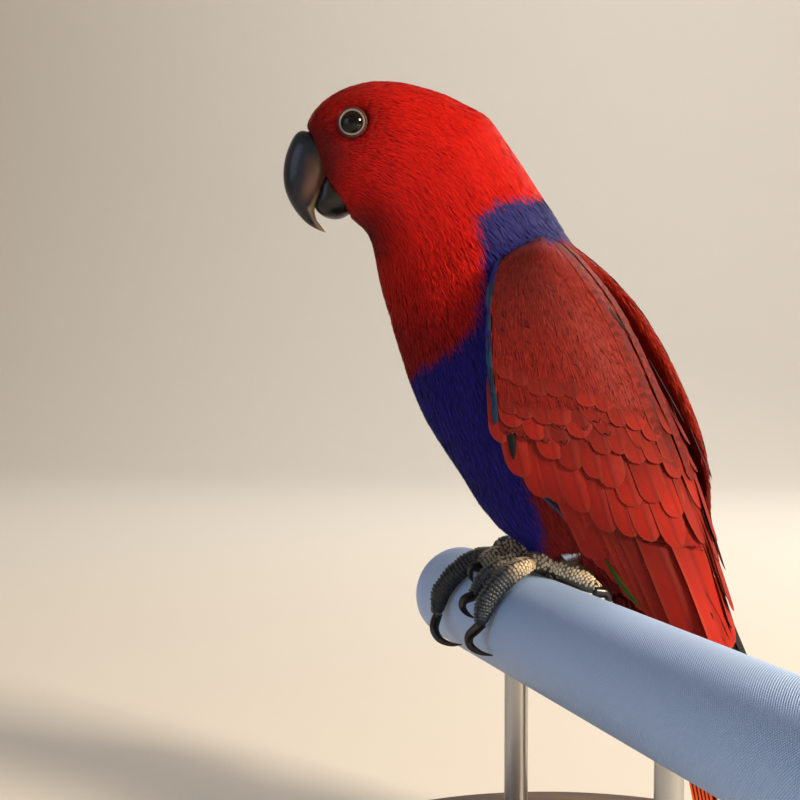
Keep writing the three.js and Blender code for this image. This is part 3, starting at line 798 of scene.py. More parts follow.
def row_of_vanes(side, stations, facing, width, length, base, rim, template, roll=0.06, streak=0.3,
                 shadow=(0.0, 0.55)):
    points, faces, uv, s, c = bend(template, stations, facing, width, unrolled(stations[:, 0], 1), cup=0.08,
                                   roll=roll * side)
    count, n = len(template[0]), len(width)
    across, down = np.abs(template[0][:, 1]), template[0][:, 0]
    edge = np.tile(step(0.72, 1.0, np.maximum(across, (down - 0.86) * 7.0)), n)
    colour = mix(np.repeat(base, count, 0), np.repeat(rim, count, 0), edge)
    tone = np.repeat(0.86 + 0.28 * rng.random(n), count)
    shaft = np.tile(1 - streak * (across < 0.1) * (down > 0.3), n)
    root = 0.5 + 0.5 * step(*shadow, s)
    fine = 0.94 + 0.12 * rng.random(len(s))
    vane = np.stack([c * np.repeat(width, count) / 2, s * np.repeat(length, count)], 1)
    return points, faces, uv, colour * (tone * shaft * root * fine)[:, None], vane


def straight_row(side, tip_x, tip_z, slope, length, width, base, rim, template, rise=0.4, sink=1.6, reach=8,
                 **more):
    """Feathers that end at the given tips. slope is how far x goes for each step down."""
    way = unit(np.stack([slope, -np.ones_like(slope)], 1))
    t = np.linspace(0, 1, reach)[None]
    x = tip_x[:, None] - way[:, 0:1] * length[:, None] * (1 - t)
    z = tip_z[:, None] - way[:, 1:2] * length[:, None] * (1 - t)
    places, facing = on_wing(side, x, z)
    height = -sink * (1 - t) ** 1.3 + np.asarray(rise)[..., None] * t ** 0.8
    lifted = places + facing * height[..., None]
    return row_of_vanes(side, lifted, facing, width, length, base, rim, template, **more)


def rooted_row(side, root, slope, length, width, base, rim, template, **more):
    """The same, for feathers given by their roots."""
    way = unit(np.stack([slope, -np.ones_like(slope)], 1))
    tip_x, tip_z = root[:, 0] + way[:, 0] * length, root[:, 2] + way[:, 1] * length
    return straight_row(side, tip_x, tip_z, slope, length, width, base, rim, template, **more)


def gather(name, groups, finish):
    """Joins groups of feathers in one piece."""
    start, faces = 0, []
    for group in groups:
        faces.append(group[1] + start)
        start += len(group[0])
    points, uv, colour, vane = (np.vstack([g[i] for g in groups]) for i in (0, 2, 3, 4))
    made = piece_from(name, points, np.vstack(faces), finish, colour, uv, vane)
    print(name, len(made.data.polygons) * 2, "triangles")
    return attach(made, "root")


# %% [markdown]
# The small coverts follow the wing's own two edges: those at the front point straight down,
# those at the back run along the back edge. Their rows are built from the lowest up.

# %% Lay the small coverts in rows
def slope_at(along, over):
    """How far x goes for each step down, for a feather rooted here."""
    front = np.interp(along, [0, 0.1, 0.2, 0.3, 0.45], [-0.5, -0.25, 0.0, 0.08, 0.2])
    back = np.interp(along, [0, 0.1, 0.2, 0.3, 0.45], [0.72, 0.76, 0.6, 0.46, 0.4])
    return front + (back - front) * over


LAST = {-1: 0.98, 1: 0.9}  # how far towards the back edge the small coverts go, on each side


def small_coverts(side):
    template = vane_template(6, 8, blunt_end(0.45, 1.9), notch=0.07)
    groups, along, rows = [], 0.005, []
    while along < 0.40:
        rows.append(along)
        along += 0.016 + 0.016 * step(0.05, 0.33, along)
    for k, along in enumerate(reversed(rows)):
        growth = float(step(0.05, 0.36, along))
        width = 6.0 + 5.0 * growth
        across = np.linspace(0, BACK_EDGE, 80)
        edge = wing_surface(side, np.full(80, along), across)
        walked = np.concatenate([[0], np.cumsum(np.linalg.norm(np.diff(edge, axis=0), axis=1))])
        count = max(int(walked[-1] / (width * 0.6)), 3)
        first = width * 0.42
        at = first + (np.arange(count) + 0.4 * (k % 2)) / count * (walked[-1] * LAST[side] - first)
        over = np.interp(at, walked, across)
        place = np.clip(along + rng.normal(0, 0.006, count), 0, 1)
        root = wing_surface(side, place, over)
        slope = slope_at(place, over) + rng.normal(0, 0.06, count)
        length = (8.5 + 10 * growth) * (0.9 + 0.2 * rng.random(count))
        length = length * (1 - 0.45 * step(0.86, 1.0, over))
        brown = step(0.0, 0.75, 1 - growth) * (1 - step(0.3, 0.9, over))
        base = mix(same(COVERT, count), SHOULDER, 0.25 + 0.75 * brown)
        rim = mix(same(COVERT_RIM, count), SHOULDER_RIM, 0.2 + 0.8 * brown)
        widths = np.full(count, width) * (1 - 0.5 * step(0.9, 1.0, over))
        groups.append(rooted_row(side, root, slope, length, widths, base, rim, template,
                                 rise=0.05 + 0.25 * rng.random(count), sink=0.9, reach=5, roll=0.05))
    return groups


# %% [markdown]
# On the upper wing the edges of the small coverts blur into loose barbs. A thin scatter of
# single barbs over them does the same.

# %% Scatter barbs over the small coverts
def loose_barbs(side, count=7000):
    along, over = rng.random(count) ** 0.9 * 0.375, 0.04 + rng.random(count) * (LAST[side] - 0.1)
    root = wing_surface(side, along, over)
    slope = slope_at(along, over) + rng.normal(0, 0.1, count)
    length = rng.uniform(4.5, 8.5, count) * (1 - 0.4 * step(0.8, 1.0, over))
    growth = step(0.05, 0.36, along)
    brown = (1 - growth) * (1 - step(0.3, 0.9, over))
    base = mix(same(COVERT, count), SHOULDER, 0.15 + 0.75 * brown)
    base = base * rng.normal(1.05, 0.12, (count, 1)).clip(0.7, 1.4)
    rise = 0.3 + 0.15 * rng.random(count)
    return [rooted_row(side, root, slope, length, np.full(count, 0.46), base, base * 1.1, sliver, rise=rise,
                       sink=0.05, reach=3, roll=rng.normal(0, 0.1, count), streak=0, shadow=(0.0, 0.05))]


for side, word in ((-1, "left"), (1, "right")):
    gather(word + "_wing_small_coverts", small_coverts(side), firm_feather)
    gather(word + "_wing_barbs", loose_barbs(side), soft_feather)

# %% [markdown]
# The far wing shows a strip of its inner face beside the back, so the inner faces get soft
# barbs too, in the mantle's red.

# %% Feather the inner faces of the wings
on_left = tri_place[:, 1] < 0
sideways = np.cross(corner_b - corner_a, corner_c - corner_a)[:, 1]
inner_face = (tri_region == 1) & (sideways * np.where(on_left, -1, 1) < 0)
for word, half in (("left", on_left), ("right", ~on_left)):
    body_coat(word + "_inner_wing_feathers", inner_face & half, 1.0, 8.0, 0.9, sliver, 0.4,
              0.12, 0.2, contrast=0.7)

# %% [markdown]
# The large feathers are placed by their tips, which show best in the photo. From the lowest
# layer up they are: black primaries with blue-grey edges, one green-edged feather, the red
# secondaries, then the greater and the median coverts over their roots. They stand in for
# the lower half of the solid wing.

# %% Lay the large feathers
def edge_row(side, along, over, width, base, rim, template, **more):
    """Feathers that run down the wing's front edge, from one (along, over) to another."""
    t = np.linspace(0, 1, 12)[None]
    a = along[:, :1] + (along[:, 1:] - along[:, :1]) * t
    o = over[:, :1] + (over[:, 1:] - over[:, :1]) * t ** 1.5
    past = np.maximum(a - 1, 0)[..., None] * np.array([170.0, 0, -130.0])
    places = wing_surface(side, np.clip(a, 0, 1), o) + past
    _, facing = on_wing(side, places[..., 0], places[..., 2])
    height = more.pop("height", -1.9)
    length = np.linalg.norm(np.diff(places, axis=1), axis=2).sum(1)
    return row_of_vanes(side, places + facing * height, facing, width, length, base, rim, template, **more)


def tip_row(side, knots_x, knots_z, n, slope, length, width, base, rim, template, **more):
    """Feathers with tips spaced evenly along a line through the knots."""
    walked = np.concatenate([[0], np.cumsum(np.hypot(np.diff(knots_x), np.diff(knots_z)))])
    at = np.linspace(0, walked[-1], n)
    x = np.interp(at, walked, knots_x) + rng.normal(0, 0.7, n)
    z = np.interp(at, walked, knots_z) + rng.normal(0, 1.5, n)
    slope = np.linspace(*slope, n) + rng.normal(0, 0.025, n)
    width = np.linspace(*width, n) * rng.uniform(0.9, 1.15, n)
    tint = rng.normal(1.0, 0.09, (n, 1))
    return straight_row(side, x, z, slope, np.linspace(*length, n), width, same(base, n) * tint,
                        same(rim, n) * tint, template, **more)


def large_feathers(side):
    long_shape = vane_template(20, 8, blunt_end(0.9, 2.0))
    tapered = vane_template(20, 8, blunt_end(0.72, 1.7))
    broad = vane_template(12, 8, blunt_end(0.78, 2.1))
    n = 7
    k = np.linspace(0, 1, n)
    groups = [edge_row(side, np.stack([np.full(n, 0.46), 0.84 + 0.22 * k], 1),
                       np.stack([0.02 + 0.25 * k, 0.03 + 0.5 * k], 1), np.full(n, 11.0), same(PRIMARY, n),
                       same(PRIMARY_EDGE, n), tapered, roll=0.03, streak=0.1)]
    groups.append(edge_row(side, np.array([[0.74, 0.83]]), np.array([[0.0, 0.0]]), np.array([2.0]),
                           same(EDGE_GREEN * 0.7, 1), same(EDGE_GREEN, 1), tapered, height=0.6))
    groups.append(tip_row(side, [88, 92, 97], [-8, -11, -15], 4, (0.36, 0.42), (60, 66), (10, 11), PRIMARY,
                          PRIMARY, tapered, rise=-0.7, reach=12, roll=0.03, shadow=(0.0, 0.1)))
    # secondaries, from the front edge to the tip of the wing and up the back edge
    groups.append(tip_row(side, [31, 50, 70, 87], [41, 15, -5, -8], 10, (0.36, 0.40), (52, 92), (13, 14),
                          SECONDARY, SECONDARY_RIM, long_shape, rise=0.1, reach=12, roll=0.07,
                          shadow=(0.3, 0.85)))
    groups.append(tip_row(side, [89, 87, 81], [0, 12, 34], 6, (0.32, 0.30), (70, 60), (12, 10), SECONDARY,
                          SECONDARY_RIM, long_shape, rise=0.5, reach=12, roll=0.05, shadow=(0.2, 0.7)))
    # greater coverts: the front one stands apart, as in the photo
    groups.append(tip_row(side, [-1, 0], [78, 79], 1, (0.03, 0.03), (36, 36), (10, 10), COVERT, COVERT_RIM,
                          broad, rise=0.1))
    # a narrow black vane, painted shadow in the gap behind the front covert
    groups.append(tip_row(side, [4, 5], [72, 71], 1, (0.1, 0.1), (30, 30), (3.2, 3.2), PRIMARY, PRIMARY,
                          tapered, rise=0.5, shadow=(0.0, 0.1)))
    groups.append(tip_row(side, [8, 22, 37, 52, 66, 77], [65, 54, 47, 38.5, 34, 36], 9, (0.22, 0.34),
                          (40, 48), (12.5, 12), SECONDARY, COVERT_RIM, broad, rise=0.35, shadow=(0.2, 0.75)))
    # median coverts in three rows, each smaller than the one below
    groups.append(tip_row(side, [5, 17, 33, 50, 64, 76], [80, 73, 66, 57, 51, 52], 10, (0.18, 0.38), (30, 34),
                          (11.5, 11), SECONDARY, COVERT_RIM, broad, rise=0.4, shadow=(0.3, 0.9)))
    groups.append(tip_row(side, [3, 15, 31, 49, 64, 75], [91, 85, 79, 71, 65, 64], 11, (0.14, 0.42), (26, 28),
                          (10.5, 10.5), COVERT, COVERT_RIM, broad, rise=0.45, shadow=(0.3, 0.95)))
    groups.append(tip_row(side, [2, 14, 30, 47, 61, 71], [101, 97, 92, 85, 79, 77], 12, (0.1, 0.44), (22, 24),
                          (9.5, 9.5), COVERT, COVERT_RIM, broad, rise=0.6, sink=1.2, shadow=(0.3, 0.95)))
    # two rows along the back edge, which close the gap to the mantle
    for over, lift, more in ((0.9, 0.3, 0.0), (0.975, 0.5, 0.012)):
        n = 15
        start = np.linspace(0.42, 0.02, n) + more
        base = mix(same(COVERT, n), SHOULDER, 0.3)
        groups.append(edge_row(side, np.stack([start, start + 0.11], 1), np.full((n, 2), over),
                               np.full(n, 9.5), base, same(COVERT_RIM, n), broad, height=lift, roll=0.04,
                               shadow=(0.2, 0.9)))
    # three dark vanes, painted shadow in the gaps that part the rows at the back
    tip_x, tip_z, slope, length, width = np.array([[48, 118, 0.72, 44, 1.5], [68, 84, 0.45, 30, 3.4],
                                                   [79, 61, 0.3, 24, 3.2]]).T
    groups.append(straight_row(side, tip_x, tip_z, slope, length, width, same(PRIMARY, 3), same(PRIMARY, 3),
                               tapered, rise=1.0, reach=12, shadow=(0.0, 0.1)))
    # the thin blue-green line of feathers that rims the front
    n = 34
    start = np.linspace(0.08, 0.40, n) + rng.normal(0, 0.008, n)
    tints = np.array([EDGE_BLUE, EDGE_BLUE * 0.45, VIOLET * 0.8, EDGE_GREEN * 0.35])[rng.integers(0, 4, n)]
    groups.append(edge_row(side, np.stack([start, start + rng.uniform(0.03, 0.06, n)], 1),
                           0.004 + 0.016 * rng.random((n, 2)), rng.uniform(1.2, 2.4, n), tints * 0.7, tints,
                           tapered, height=0.35))
    return groups


for side, word in ((-1, "left"), (1, "right")):
    made = gather(word + "_wing_large_feathers", large_feathers(side), firm_feather)
    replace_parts(made, word + "_wing_flight")

# %% [markdown]
# ## The tail
# Twelve long, square-tipped feathers lie in two fans that meet on the middle line, the
# middle pair on top.

# %% Lay the tail feathers
def one_feather(shape, line, normal, width, place, cup):
    """A long feather on one line, which faces the same way all along it."""
    facing = np.repeat(normal[None], len(line), 0)
    return bend(shape, line[None], facing[None], np.array([width]), np.array([place]), cup=cup)


def tail_fan():
    groups = []
    shape = vane_template(18, 8, blunt_end(0.93, 2.4))
    t = np.linspace(0, 1, 12)
    for layer in range(6):
        for side in (-1, 1):
            off = side * (layer * 2.3 + 1.4)
            root = np.array([57 - layer * 0.5, off * 0.5, 24])
            tip = np.array([85 - layer, off, -83 + layer * 1.2])
            line = root + (tip - root) * t[:, None]
            line[:, 0] += 2 * np.sin(np.pi * t)
            normal = unit(np.array([0.93, side * 0.16, 0.34]))
            line = line - normal * (layer * 0.55)
            p, f, uv, s, c = one_feather(shape, line, normal, 15.0,
                                         [0.72 + 0.03 * layer, 0.3 + 0.2 * (side + 1)], 0.08)
            colour = mix(same(TAIL_RED, len(p)), TAIL_TIP, step(0.72, 0.97, s))
            outer_edge = step(0.55, 1.0, c * side) * (layer > 2) * (1 - step(0.5, 0.8, s))
            colour = mix(colour, TAIL_EDGE, outer_edge * 0.8)
            colour = colour * (1 - 0.35 * (np.abs(c) < 0.1))[:, None] * (0.9 + 0.2 * rng.random())
            groups.append((p, f, uv, colour, np.stack([c * 7.5, s * 105], 1)))
    # the coverts under the tail, which carry the vent's dark red down to the tail feathers
    under = np.array([[36, 40], [42, 22], [45.5, 8], [51, -12], [60, -34]], float)
    soft = vane_template(10, 8, blunt_end(0.6, 1.8), notch=0.06)
    for layer, (shift, share) in enumerate(((0.0, 1.0), (0.7, 0.72), (1.3, 0.5))):
        for y in np.linspace(-12, 12, 7) + (layer % 2) * 1.6:
            xz = catmull(under, t * share)
            line = np.stack([xz[:, 0] + 0.12 * abs(y) - shift, np.full(len(t), y), xz[:, 1]], 1)
            normal = unit(np.array([-0.9, 0.03 * y, -0.4]))
            p, f, uv, s, c = one_feather(soft, line, normal, 9.0, [0.2 + 0.01 * y, 0.86], 0.1)
            colour = same(VENT, len(p)) * (0.6 + 0.5 * s)[:, None] * (0.85 + 0.3 * rng.random())
            groups.append((p, f, uv, colour, np.stack([c * 4.5, s * 80 * share], 1)))
    # and those that close the tail's sides up to the wings
    for side in (-1, 1):
        for off in (2.0, 6.0, 10.0, 14.0):
            xz = catmull(under, t * (1.0 - 0.02 * off))
            line = np.stack([xz[:, 0] + off, np.full(len(t), side * (13.5 - 0.35 * off)), xz[:, 1]], 1)
            normal = unit(np.array([-0.3, side * 0.95, 0]))
            p, f, uv, s, c = one_feather(soft, line, normal, 9.0, [0.2 + 0.01 * off, 0.9], 0.1)
            colour = same(VENT, len(p)) * (0.6 + 0.4 * s)[:, None]
            groups.append((p, f, uv, colour, np.stack([c * 4.5, s * 75], 1)))
    return groups


tail = gather("tail_feathers", tail_fan(), firm_feather)
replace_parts(tail, "tail")

# %% [markdown]
# ## The bill
# The bill is horn, so it is smooth and glossy. Each half hangs between two lines of the side
# view, its cutting edge and its ridge, as its solid does, only finer. The lower half closes
# inside the upper one. The bill is blue-black, with the brown patch and the pale worn edge
# that show in the photo.

# %% Shape and paint the bill
def turn_head(p):
    """The head is turned about an upright line through the neck, and the neck follows in part."""
    angle = HEAD_TURN * step(132, 182, p[:, 2])
    dx, dy = p[:, 0] - NECK_X, p[:, 1]
    x, y = dx * np.cos(angle) - dy * np.sin(angle), dx * np.sin(angle) + dy * np.cos(angle)
    return np.stack([x + NECK_X, y, p[:, 2]], 1)


def side_form(name, stations, finish, rings=64, sides=40):
    """A closed form between two lines of the side view, by stations of x, z, x, z and half width."""
    ring = np.linspace(0, 1, rings)
    t = (ring + (1 - np.cos(np.pi * ring)) / 2) / 2
    st = catmull(np.array(stations, float), t)
    u = np.arange(sides) / sides * 2 * math.pi
    across = np.sign(np.cos(u)) * np.abs(np.cos(u)) ** (2 / 2.2)
    out = np.sign(np.sin(u)) * np.abs(np.sin(u)) ** (2 / 2.2)
    middle, reach = (st[:, :2] + st[:, 2:4]) / 2, (st[:, 2:4] - st[:, :2]) / 2
    x = middle[:, None, 0] + reach[:, None, 0] * across
    z = middle[:, None, 1] + reach[:, None, 1] * across
    y = np.maximum(st[:, 4], 0.02)[:, None] * out
    p = turn_head(np.stack([x, y, z], -1).reshape(-1, 3))
    i, j = (g.ravel() for g in np.meshgrid(np.arange(rings - 1), np.arange(sides), indexing="ij"))
    k = (j + 1) % sides
    faces = np.stack([i * sides + j, (i + 1) * sides + j, (i + 1) * sides + k, i * sides + k], 1)
    made = piece_from(name, p, faces, finish)
    only(made)
    bpy.ops.object.mode_set(mode="EDIT")
    bpy.ops.mesh.select_all(action="SELECT")
    bpy.ops.mesh.remove_doubles(threshold=1e-6)
    bpy.ops.mesh.normals_make_consistent(inside=False)
    bpy.ops.object.mode_set(mode="OBJECT")
    return made


HEAD_TURN, NECK_X = math.radians(10), -27
UPPER_BILL = [
    [-77, 197, -77, 197, 0], [-76.8, 191, -87, 205, 8.4], [-78.8, 186.2, -92.8, 205.4, 9.4],
    [-80.6, 183.4, -97, 198.2, 9.4], [-82, 180.2, -98.8, 190.1, 8.8], [-84, 177, -98.3, 182, 7.4],
    [-85.8, 173.6, -95.1, 174.4, 5.5], [-85.2, 169.4, -90.1, 168.2, 3.4], [-83.6, 167, -85.5, 165.2, 1.7],
    [-81.3, 163.6, -81.3, 163.6, 0]]
LOWER_BILL = [
    [-85.8, 174.2, -85.8, 174.2, 0], [-84, 171.6, -84.9, 177.4, 4.6], [-80.4, 169.6, -83.4, 181.2, 6.8],
    [-75.6, 169.2, -82.4, 186.6, 7.8], [-71, 171.4, -80, 190, 7.8], [-67.6, 176.2, -76, 191, 7.4],
    [-68, 183, -68, 183, 0]]
horn, tree, shader = material("bill horn", {"Roughness": 0.24, "IOR": 1.54, "Specular IOR Level": 0.38},
                              marked=True)
place = node(tree, "ShaderNodeTexCoord")
# faint growth marks, about a millimetre and a half across
noise = node(tree, "ShaderNodeTexNoise", {"Scale": 700.0, "Detail": 4.0}, {"Vector": place.outputs["Object"]})
bump = node(tree, "ShaderNodeBump", {"Strength": 0.2, "Distance": 0.0001}, {"Height": noise.outputs["Fac"]})
tree.links.new(bump.outputs["Normal"], shader.inputs["Normal"])
BILL_BLUE, BILL_BLACK = linear("151D2C"), linear("0D0E12")
BILL_BROWN, BILL_PALE = linear("6E4A38"), linear("B9A48A")

upper = side_form("bill_upper", UPPER_BILL, horn)
p, _ = arrays_of(upper)
edge_x = np.interp(p[:, 2], [163, 167, 173, 178, 184, 190], [-81, -83.5, -85.5, -82.5, -80.5, -79])
from_edge = edge_x - p[:, 0]
tone = mix(same(BILL_BLUE, len(p)), BILL_BLACK, step(0, 12, 195 - p[:, 2]) * 0.5)
brown = (1 - step(2.5, 8.0, from_edge)) * step(174, 181, p[:, 2]) * (1 - step(190, 197, p[:, 2]))
tone = mix(tone, BILL_BROWN, brown * 0.75)
tone = mix(tone, BILL_PALE, (1 - step(0.4, 1.8, from_edge)) * (1 - step(176, 182, p[:, 2])) * 0.85)
tone = mix(tone, BILL_PALE * 0.7, (1 - step(163.6, 168, p[:, 2])) * 0.6)
paint(upper.data, tone)
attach(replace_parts(upper, "upper_bill"), "root")

lower = side_form("bill_lower", LOWER_BILL, horn)
p, _ = arrays_of(lower)
paint(lower.data, same(BILL_BLACK, len(p)))
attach(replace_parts(lower, "lower_bill"), "root")
print("bill:", len(upper.data.polygons) + len(lower.data.polygons), "faces")

# %% [markdown]
# ## The eyes
# Each eyeball is a sphere the size of its solid. A real one is wet, so its finish is almost
# a mirror, over an iris so dark that it hardly shows. Round it runs a thin bare ring of skin
# with a row of tiny beads.

# %% Eyes and their rings
BILL_WAY = np.array([-math.cos(HEAD_TURN), -math.sin(HEAD_TURN), 0])
eye_wet, _, _ = material("wet eye", {"Roughness": 0.05, "IOR": 1.38}, marked=True)
ring_skin, _, _ = material("bare eye ring", {"Base Color": rgba("85766E"), "Roughness": 0.6})
lid_skin, _, _ = material("dark eyelid", {"Base Color": rgba("3A1513"), "Roughness": 0.7})
IRIS, PUPIL = linear("150C08"), linear("030303")
EYE_RADIUS = 5.9
BEADS, BEAD_RADIUS = 36, 0.3


def torus(name, place, outward, major, minor, finish):
    bpy.ops.mesh.primitive_torus_add(major_radius=major / 1000, minor_radius=minor / 1000, major_segments=72,
                                     minor_segments=16, location=Vector(to_frame(place)),
                                     rotation=Vector(outward).to_track_quat("Z", "Y").to_euler())
    made = bpy.context.object
    made.name = name
    bpy.ops.object.transform_apply(location=True, rotation=True, scale=True)
    bpy.ops.object.shade_smooth()
    made.data.materials.append(finish)
    return made


for side, word in ((-1, "left"), (1, "right")):
    outward = unit(np.array([-BILL_WAY[1] * -side, BILL_WAY[0] * -side, 0]) + BILL_WAY * 0.12)
    centre = eye_places[word] + outward * 0.5
    bpy.ops.mesh.primitive_uv_sphere_add(segments=48, ring_count=32, radius=EYE_RADIUS / 1000,
                                         location=Vector(to_frame(centre)))
    eye = bpy.context.object
    eye.name = word + "_eyeball"
    bpy.ops.object.transform_apply(location=True, rotation=True, scale=True)
    p, _ = arrays_of(eye)
    facing = ((p - centre) @ outward) / EYE_RADIUS
    paint(eye.data, mix(same(PUPIL, len(p)), IRIS, 1 - step(0.88, 0.91, facing)))
    bpy.ops.object.shade_smooth()
    eye.data.materials.append(eye_wet)
    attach(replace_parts(eye, word + "_eye"), "root")
    lid = torus(word + "_eyelid", centre + outward * 2.9, outward, 5.6, 0.75, lid_skin)
    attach(lid, "root")
    ring = torus(word + "_eye_ring", centre + outward * 3.7, outward, 4.95, 0.42, ring_skin)
    across = unit(np.cross(outward, UP))
    beads = []
    for i in range(BEADS):
        a = 2 * math.pi * i / BEADS
        spot = across * math.cos(a) + np.cross(outward, across) * math.sin(a)
        spot = centre + spot * 5.15 + outward * 3.95
        bpy.ops.mesh.primitive_ico_sphere_add(subdivisions=2, radius=BEAD_RADIUS / 1000,
                                              location=Vector(to_frame(spot)))
        beads.append(bpy.context.object)
        beads[-1].data.materials.append(ring_skin)
    only(ring)
    for bead in beads:
        bead.select_set(True)
    bpy.ops.object.join()
    bpy.ops.object.shade_smooth()
    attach(ring, "root")
print("eyes and rings done")

# %% [markdown]
# ## Feet
# The skin already has the toes. What makes them a parrot's are the scales: small beads in
# rings round every toe, larger along the top. They are low domes pressed into the skin.
# The plan below says where each foot stands on the rail: how far along it, at what angle,
# which way is outwards, where the heel is, and each toe as steps along and angles round it.

# %% Scales on the toes
FOOT_PLAN = {
    "left": (15, 78, 1, [34, -14, 40.5], {
        "outer_front": [[3, 92], [7.6, 118], [8.4, 148], [8.8, 172]],
        "inner_front": [[-3.2, 93], [-5.8, 112], [-7, 132], [-7, 149]],
        "outer_rear": [[3.4, 72], [9.5, 63], [17, 53], [25.5, 46]],
        "inner_rear": [[-3, 66], [-5, 52], [-6, 38], [-6.4, 24]]}),
    "right": (-15, 84, -1, [19, 13, 41.5], {
        "outer_front": [[2.4, 98], [4, 124], [9.6, 156], [12.6, 184]],
        "inner_front": [[-3.4, 96], [-5.2, 104], [-5.8, 112], [-6.2, 120]],
        "outer_rear": [[3.4, 76], [8, 62], [13, 46], [16, 30]],
        "inner_rear": [[-3, 70], [-5, 54], [-6, 38], [-6.4, 24]]}),
}


SCALE_PITCH = 1.35
RING_ANGLES = (0, 41, 67, 91, 115)
RING_WIDTHS = (2.6, 1.2, 1.05, 1.0, 0.95)


def dome_template():
    """A low eight-sided dome, with a radius and a height of one."""
    turns = np.arange(8) * math.pi / 4
    points = [(0, 0, 1)] + [(0.62 * math.cos(a), 0.62 * math.sin(a), 0.8) for a in turns]
    points += [(math.cos(a), math.sin(a), 0.0) for a in turns]
    faces = [[0, 1 + i, 1 + (i + 1) % 8, 1 + (i + 2) % 8] for i in range(0, 8, 2)]
    faces += [[1 + i, 9 + i, 9 + (i + 1) % 8, 1 + (i + 1) % 8] for i in range(8)]
    return np.array(points, float), np.array(faces)


def toe_scales():
    dome, dome_faces = dome_template()
    spots, ups, ways, sizes = [], [], [], []
    for foot_along, pad, outward, heel, toes in FOOT_PLAN.values():
        lines = [np.array([on_rail(foot_along + outward * s, a, RAIL_RADIUS + 5.0) for s, a in stations])
                 for stations in toes.values()]
        start = on_rail(foot_along, pad - 6, RAIL_RADIUS + 6)
        lines.append(np.array([start, (start + np.array(heel)) / 2, np.array(heel)]))
        lines.append(np.array([on_rail(foot_along, pad + t, RAIL_RADIUS + 6.6) for t in (13, 0, -13)]))
        for line in lines:
            length = np.linalg.norm(np.diff(line, axis=0), axis=1).sum()
            rows = int(length / SCALE_PITCH)
            for i in range(rows):
                t = (i + 0.5) / rows
                at = catmull(line, np.array([t]))[0]
                behind, ahead = catmull(line, np.array([max(t - 0.02, 0), min(t + 0.02, 1)]))
                way = unit(ahead - behind)
                radial = at - ALONG * (at @ ALONG)
                top = unit(radial - (radial @ way) * way)
                side = np.cross(way, top)
                for k in range(-4, 5):
                    shifted = (6 if i % 2 else -4) * (k != 0)
                    a = math.radians(math.copysign(RING_ANGLES[abs(k)] + shifted, k))
                    ray = top * math.cos(a) + side * math.sin(a)
                    hit = outer_tree.ray_cast(Vector(at + ray * 12), Vector(-ray), 14)
                    if hit[0] is None or leg_tree.find_nearest(hit[0])[3] > 0.8:
                        continue
                    spots.append(np.array(hit[0]))
                    ups.append(unit(np.array(hit[1]) + ray * 0.5))
                    ways.append(way)
                    sizes.append((RING_WIDTHS[abs(k)], 0.8))
    spots, ups, ways, sizes = map(np.array, (spots, ups, ways, sizes))
    side = unit(np.cross(ups, ways))
    ahead = np.cross(side, ups)
    jitter = 0.85 + 0.3 * rng.random(len(spots))
    spots = spots + ways * rng.normal(0, 0.12, (len(spots), 1))
    across, long = (sizes * jitter[:, None]).T[:, :, None, None]
    points = (spots[:, None] - ups[:, None] * 0.15
              + side[:, None] * dome[None, :, 0:1] * across
              + ahead[:, None] * dome[None, :, 1:2] * long
              + ups[:, None] * dome[None, :, 2:3] * 0.36)
    faces = (dome_faces[None] + (np.arange(len(spots)) * len(dome))[:, None, None]).reshape(-1, 4)
    flat = unrolled(spots, 2)[:, None] + dome[None, :, :2] * PATCH / 2
    # the scales take painted light and shade: paler where lit behind the rail's top, darker where shaded in
    # front and on the far foot
    groove = np.repeat(foot_lit_and_shaded(spots, FOOT_GROOVE, FOOT_GROOVE_SHADED), len(dome), 0)
    lit = foot_lit_and_shaded(spots, FOOT_PALE_LIT, FOOT_GREY_SHADED) * (0.8 + 0.35 * rng.random((len(spots), 1)))
    colour = mix(groove, np.repeat(lit, len(dome), 0), step(0.0, 0.6, np.tile(dome[:, 2], len(spots))))
    return points.reshape(-1, 3), faces, colour, flat.reshape(-1, 2)


scale_skin, _, _ = material("foot scales", {"Roughness": 0.48, "IOR": 1.5}, marked=True)
p, f, colour, flat = toe_scales()
scales = piece_from("toe_scales", p, f, scale_skin, colour, flat)
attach(scales, "root")
print("scales:", len(f) * 2, "triangles")

# %% [markdown]
# A claw is a horn drawn out along a curve: it leaves the toe's tip, stands off the rail and
# comes down on it. Its thickness follows the same curve, from the toe's width to a point. It
# is black and worn smooth, so it shows narrow highlights. Claws that the photo hides behind
# the rail or another toe are a little shorter and lie lower.

# %% Claws
claw_horn, _, _ = material("claw horn", {"Base Color": rgba("0C0C0F"), "Roughness": 0.28, "IOR": 1.54})
CLAW_RADII = np.array([2.1, 2.2, 2.0, 1.6, 1.0, 0.25])
CLAW_STANDS_OFF = np.array([3.6, 5.6, 7.4, 7.2, 4.4, 0.9])
CLAW_SHARES = np.array([-0.16, 0.12, 0.36, 0.66, 0.94, 1.12])
CLAW_SWEEP = {"outer_front": 25, "inner_front": 18, "outer_rear": 23, "inner_rear": 18}
CLAW_DRIFT = {"left": np.array([0, -1.8, -3.6, -3.8, -1.4, 1.8]), "right": np.array([0, 0.8, 3, 6, 9, 12.0])}


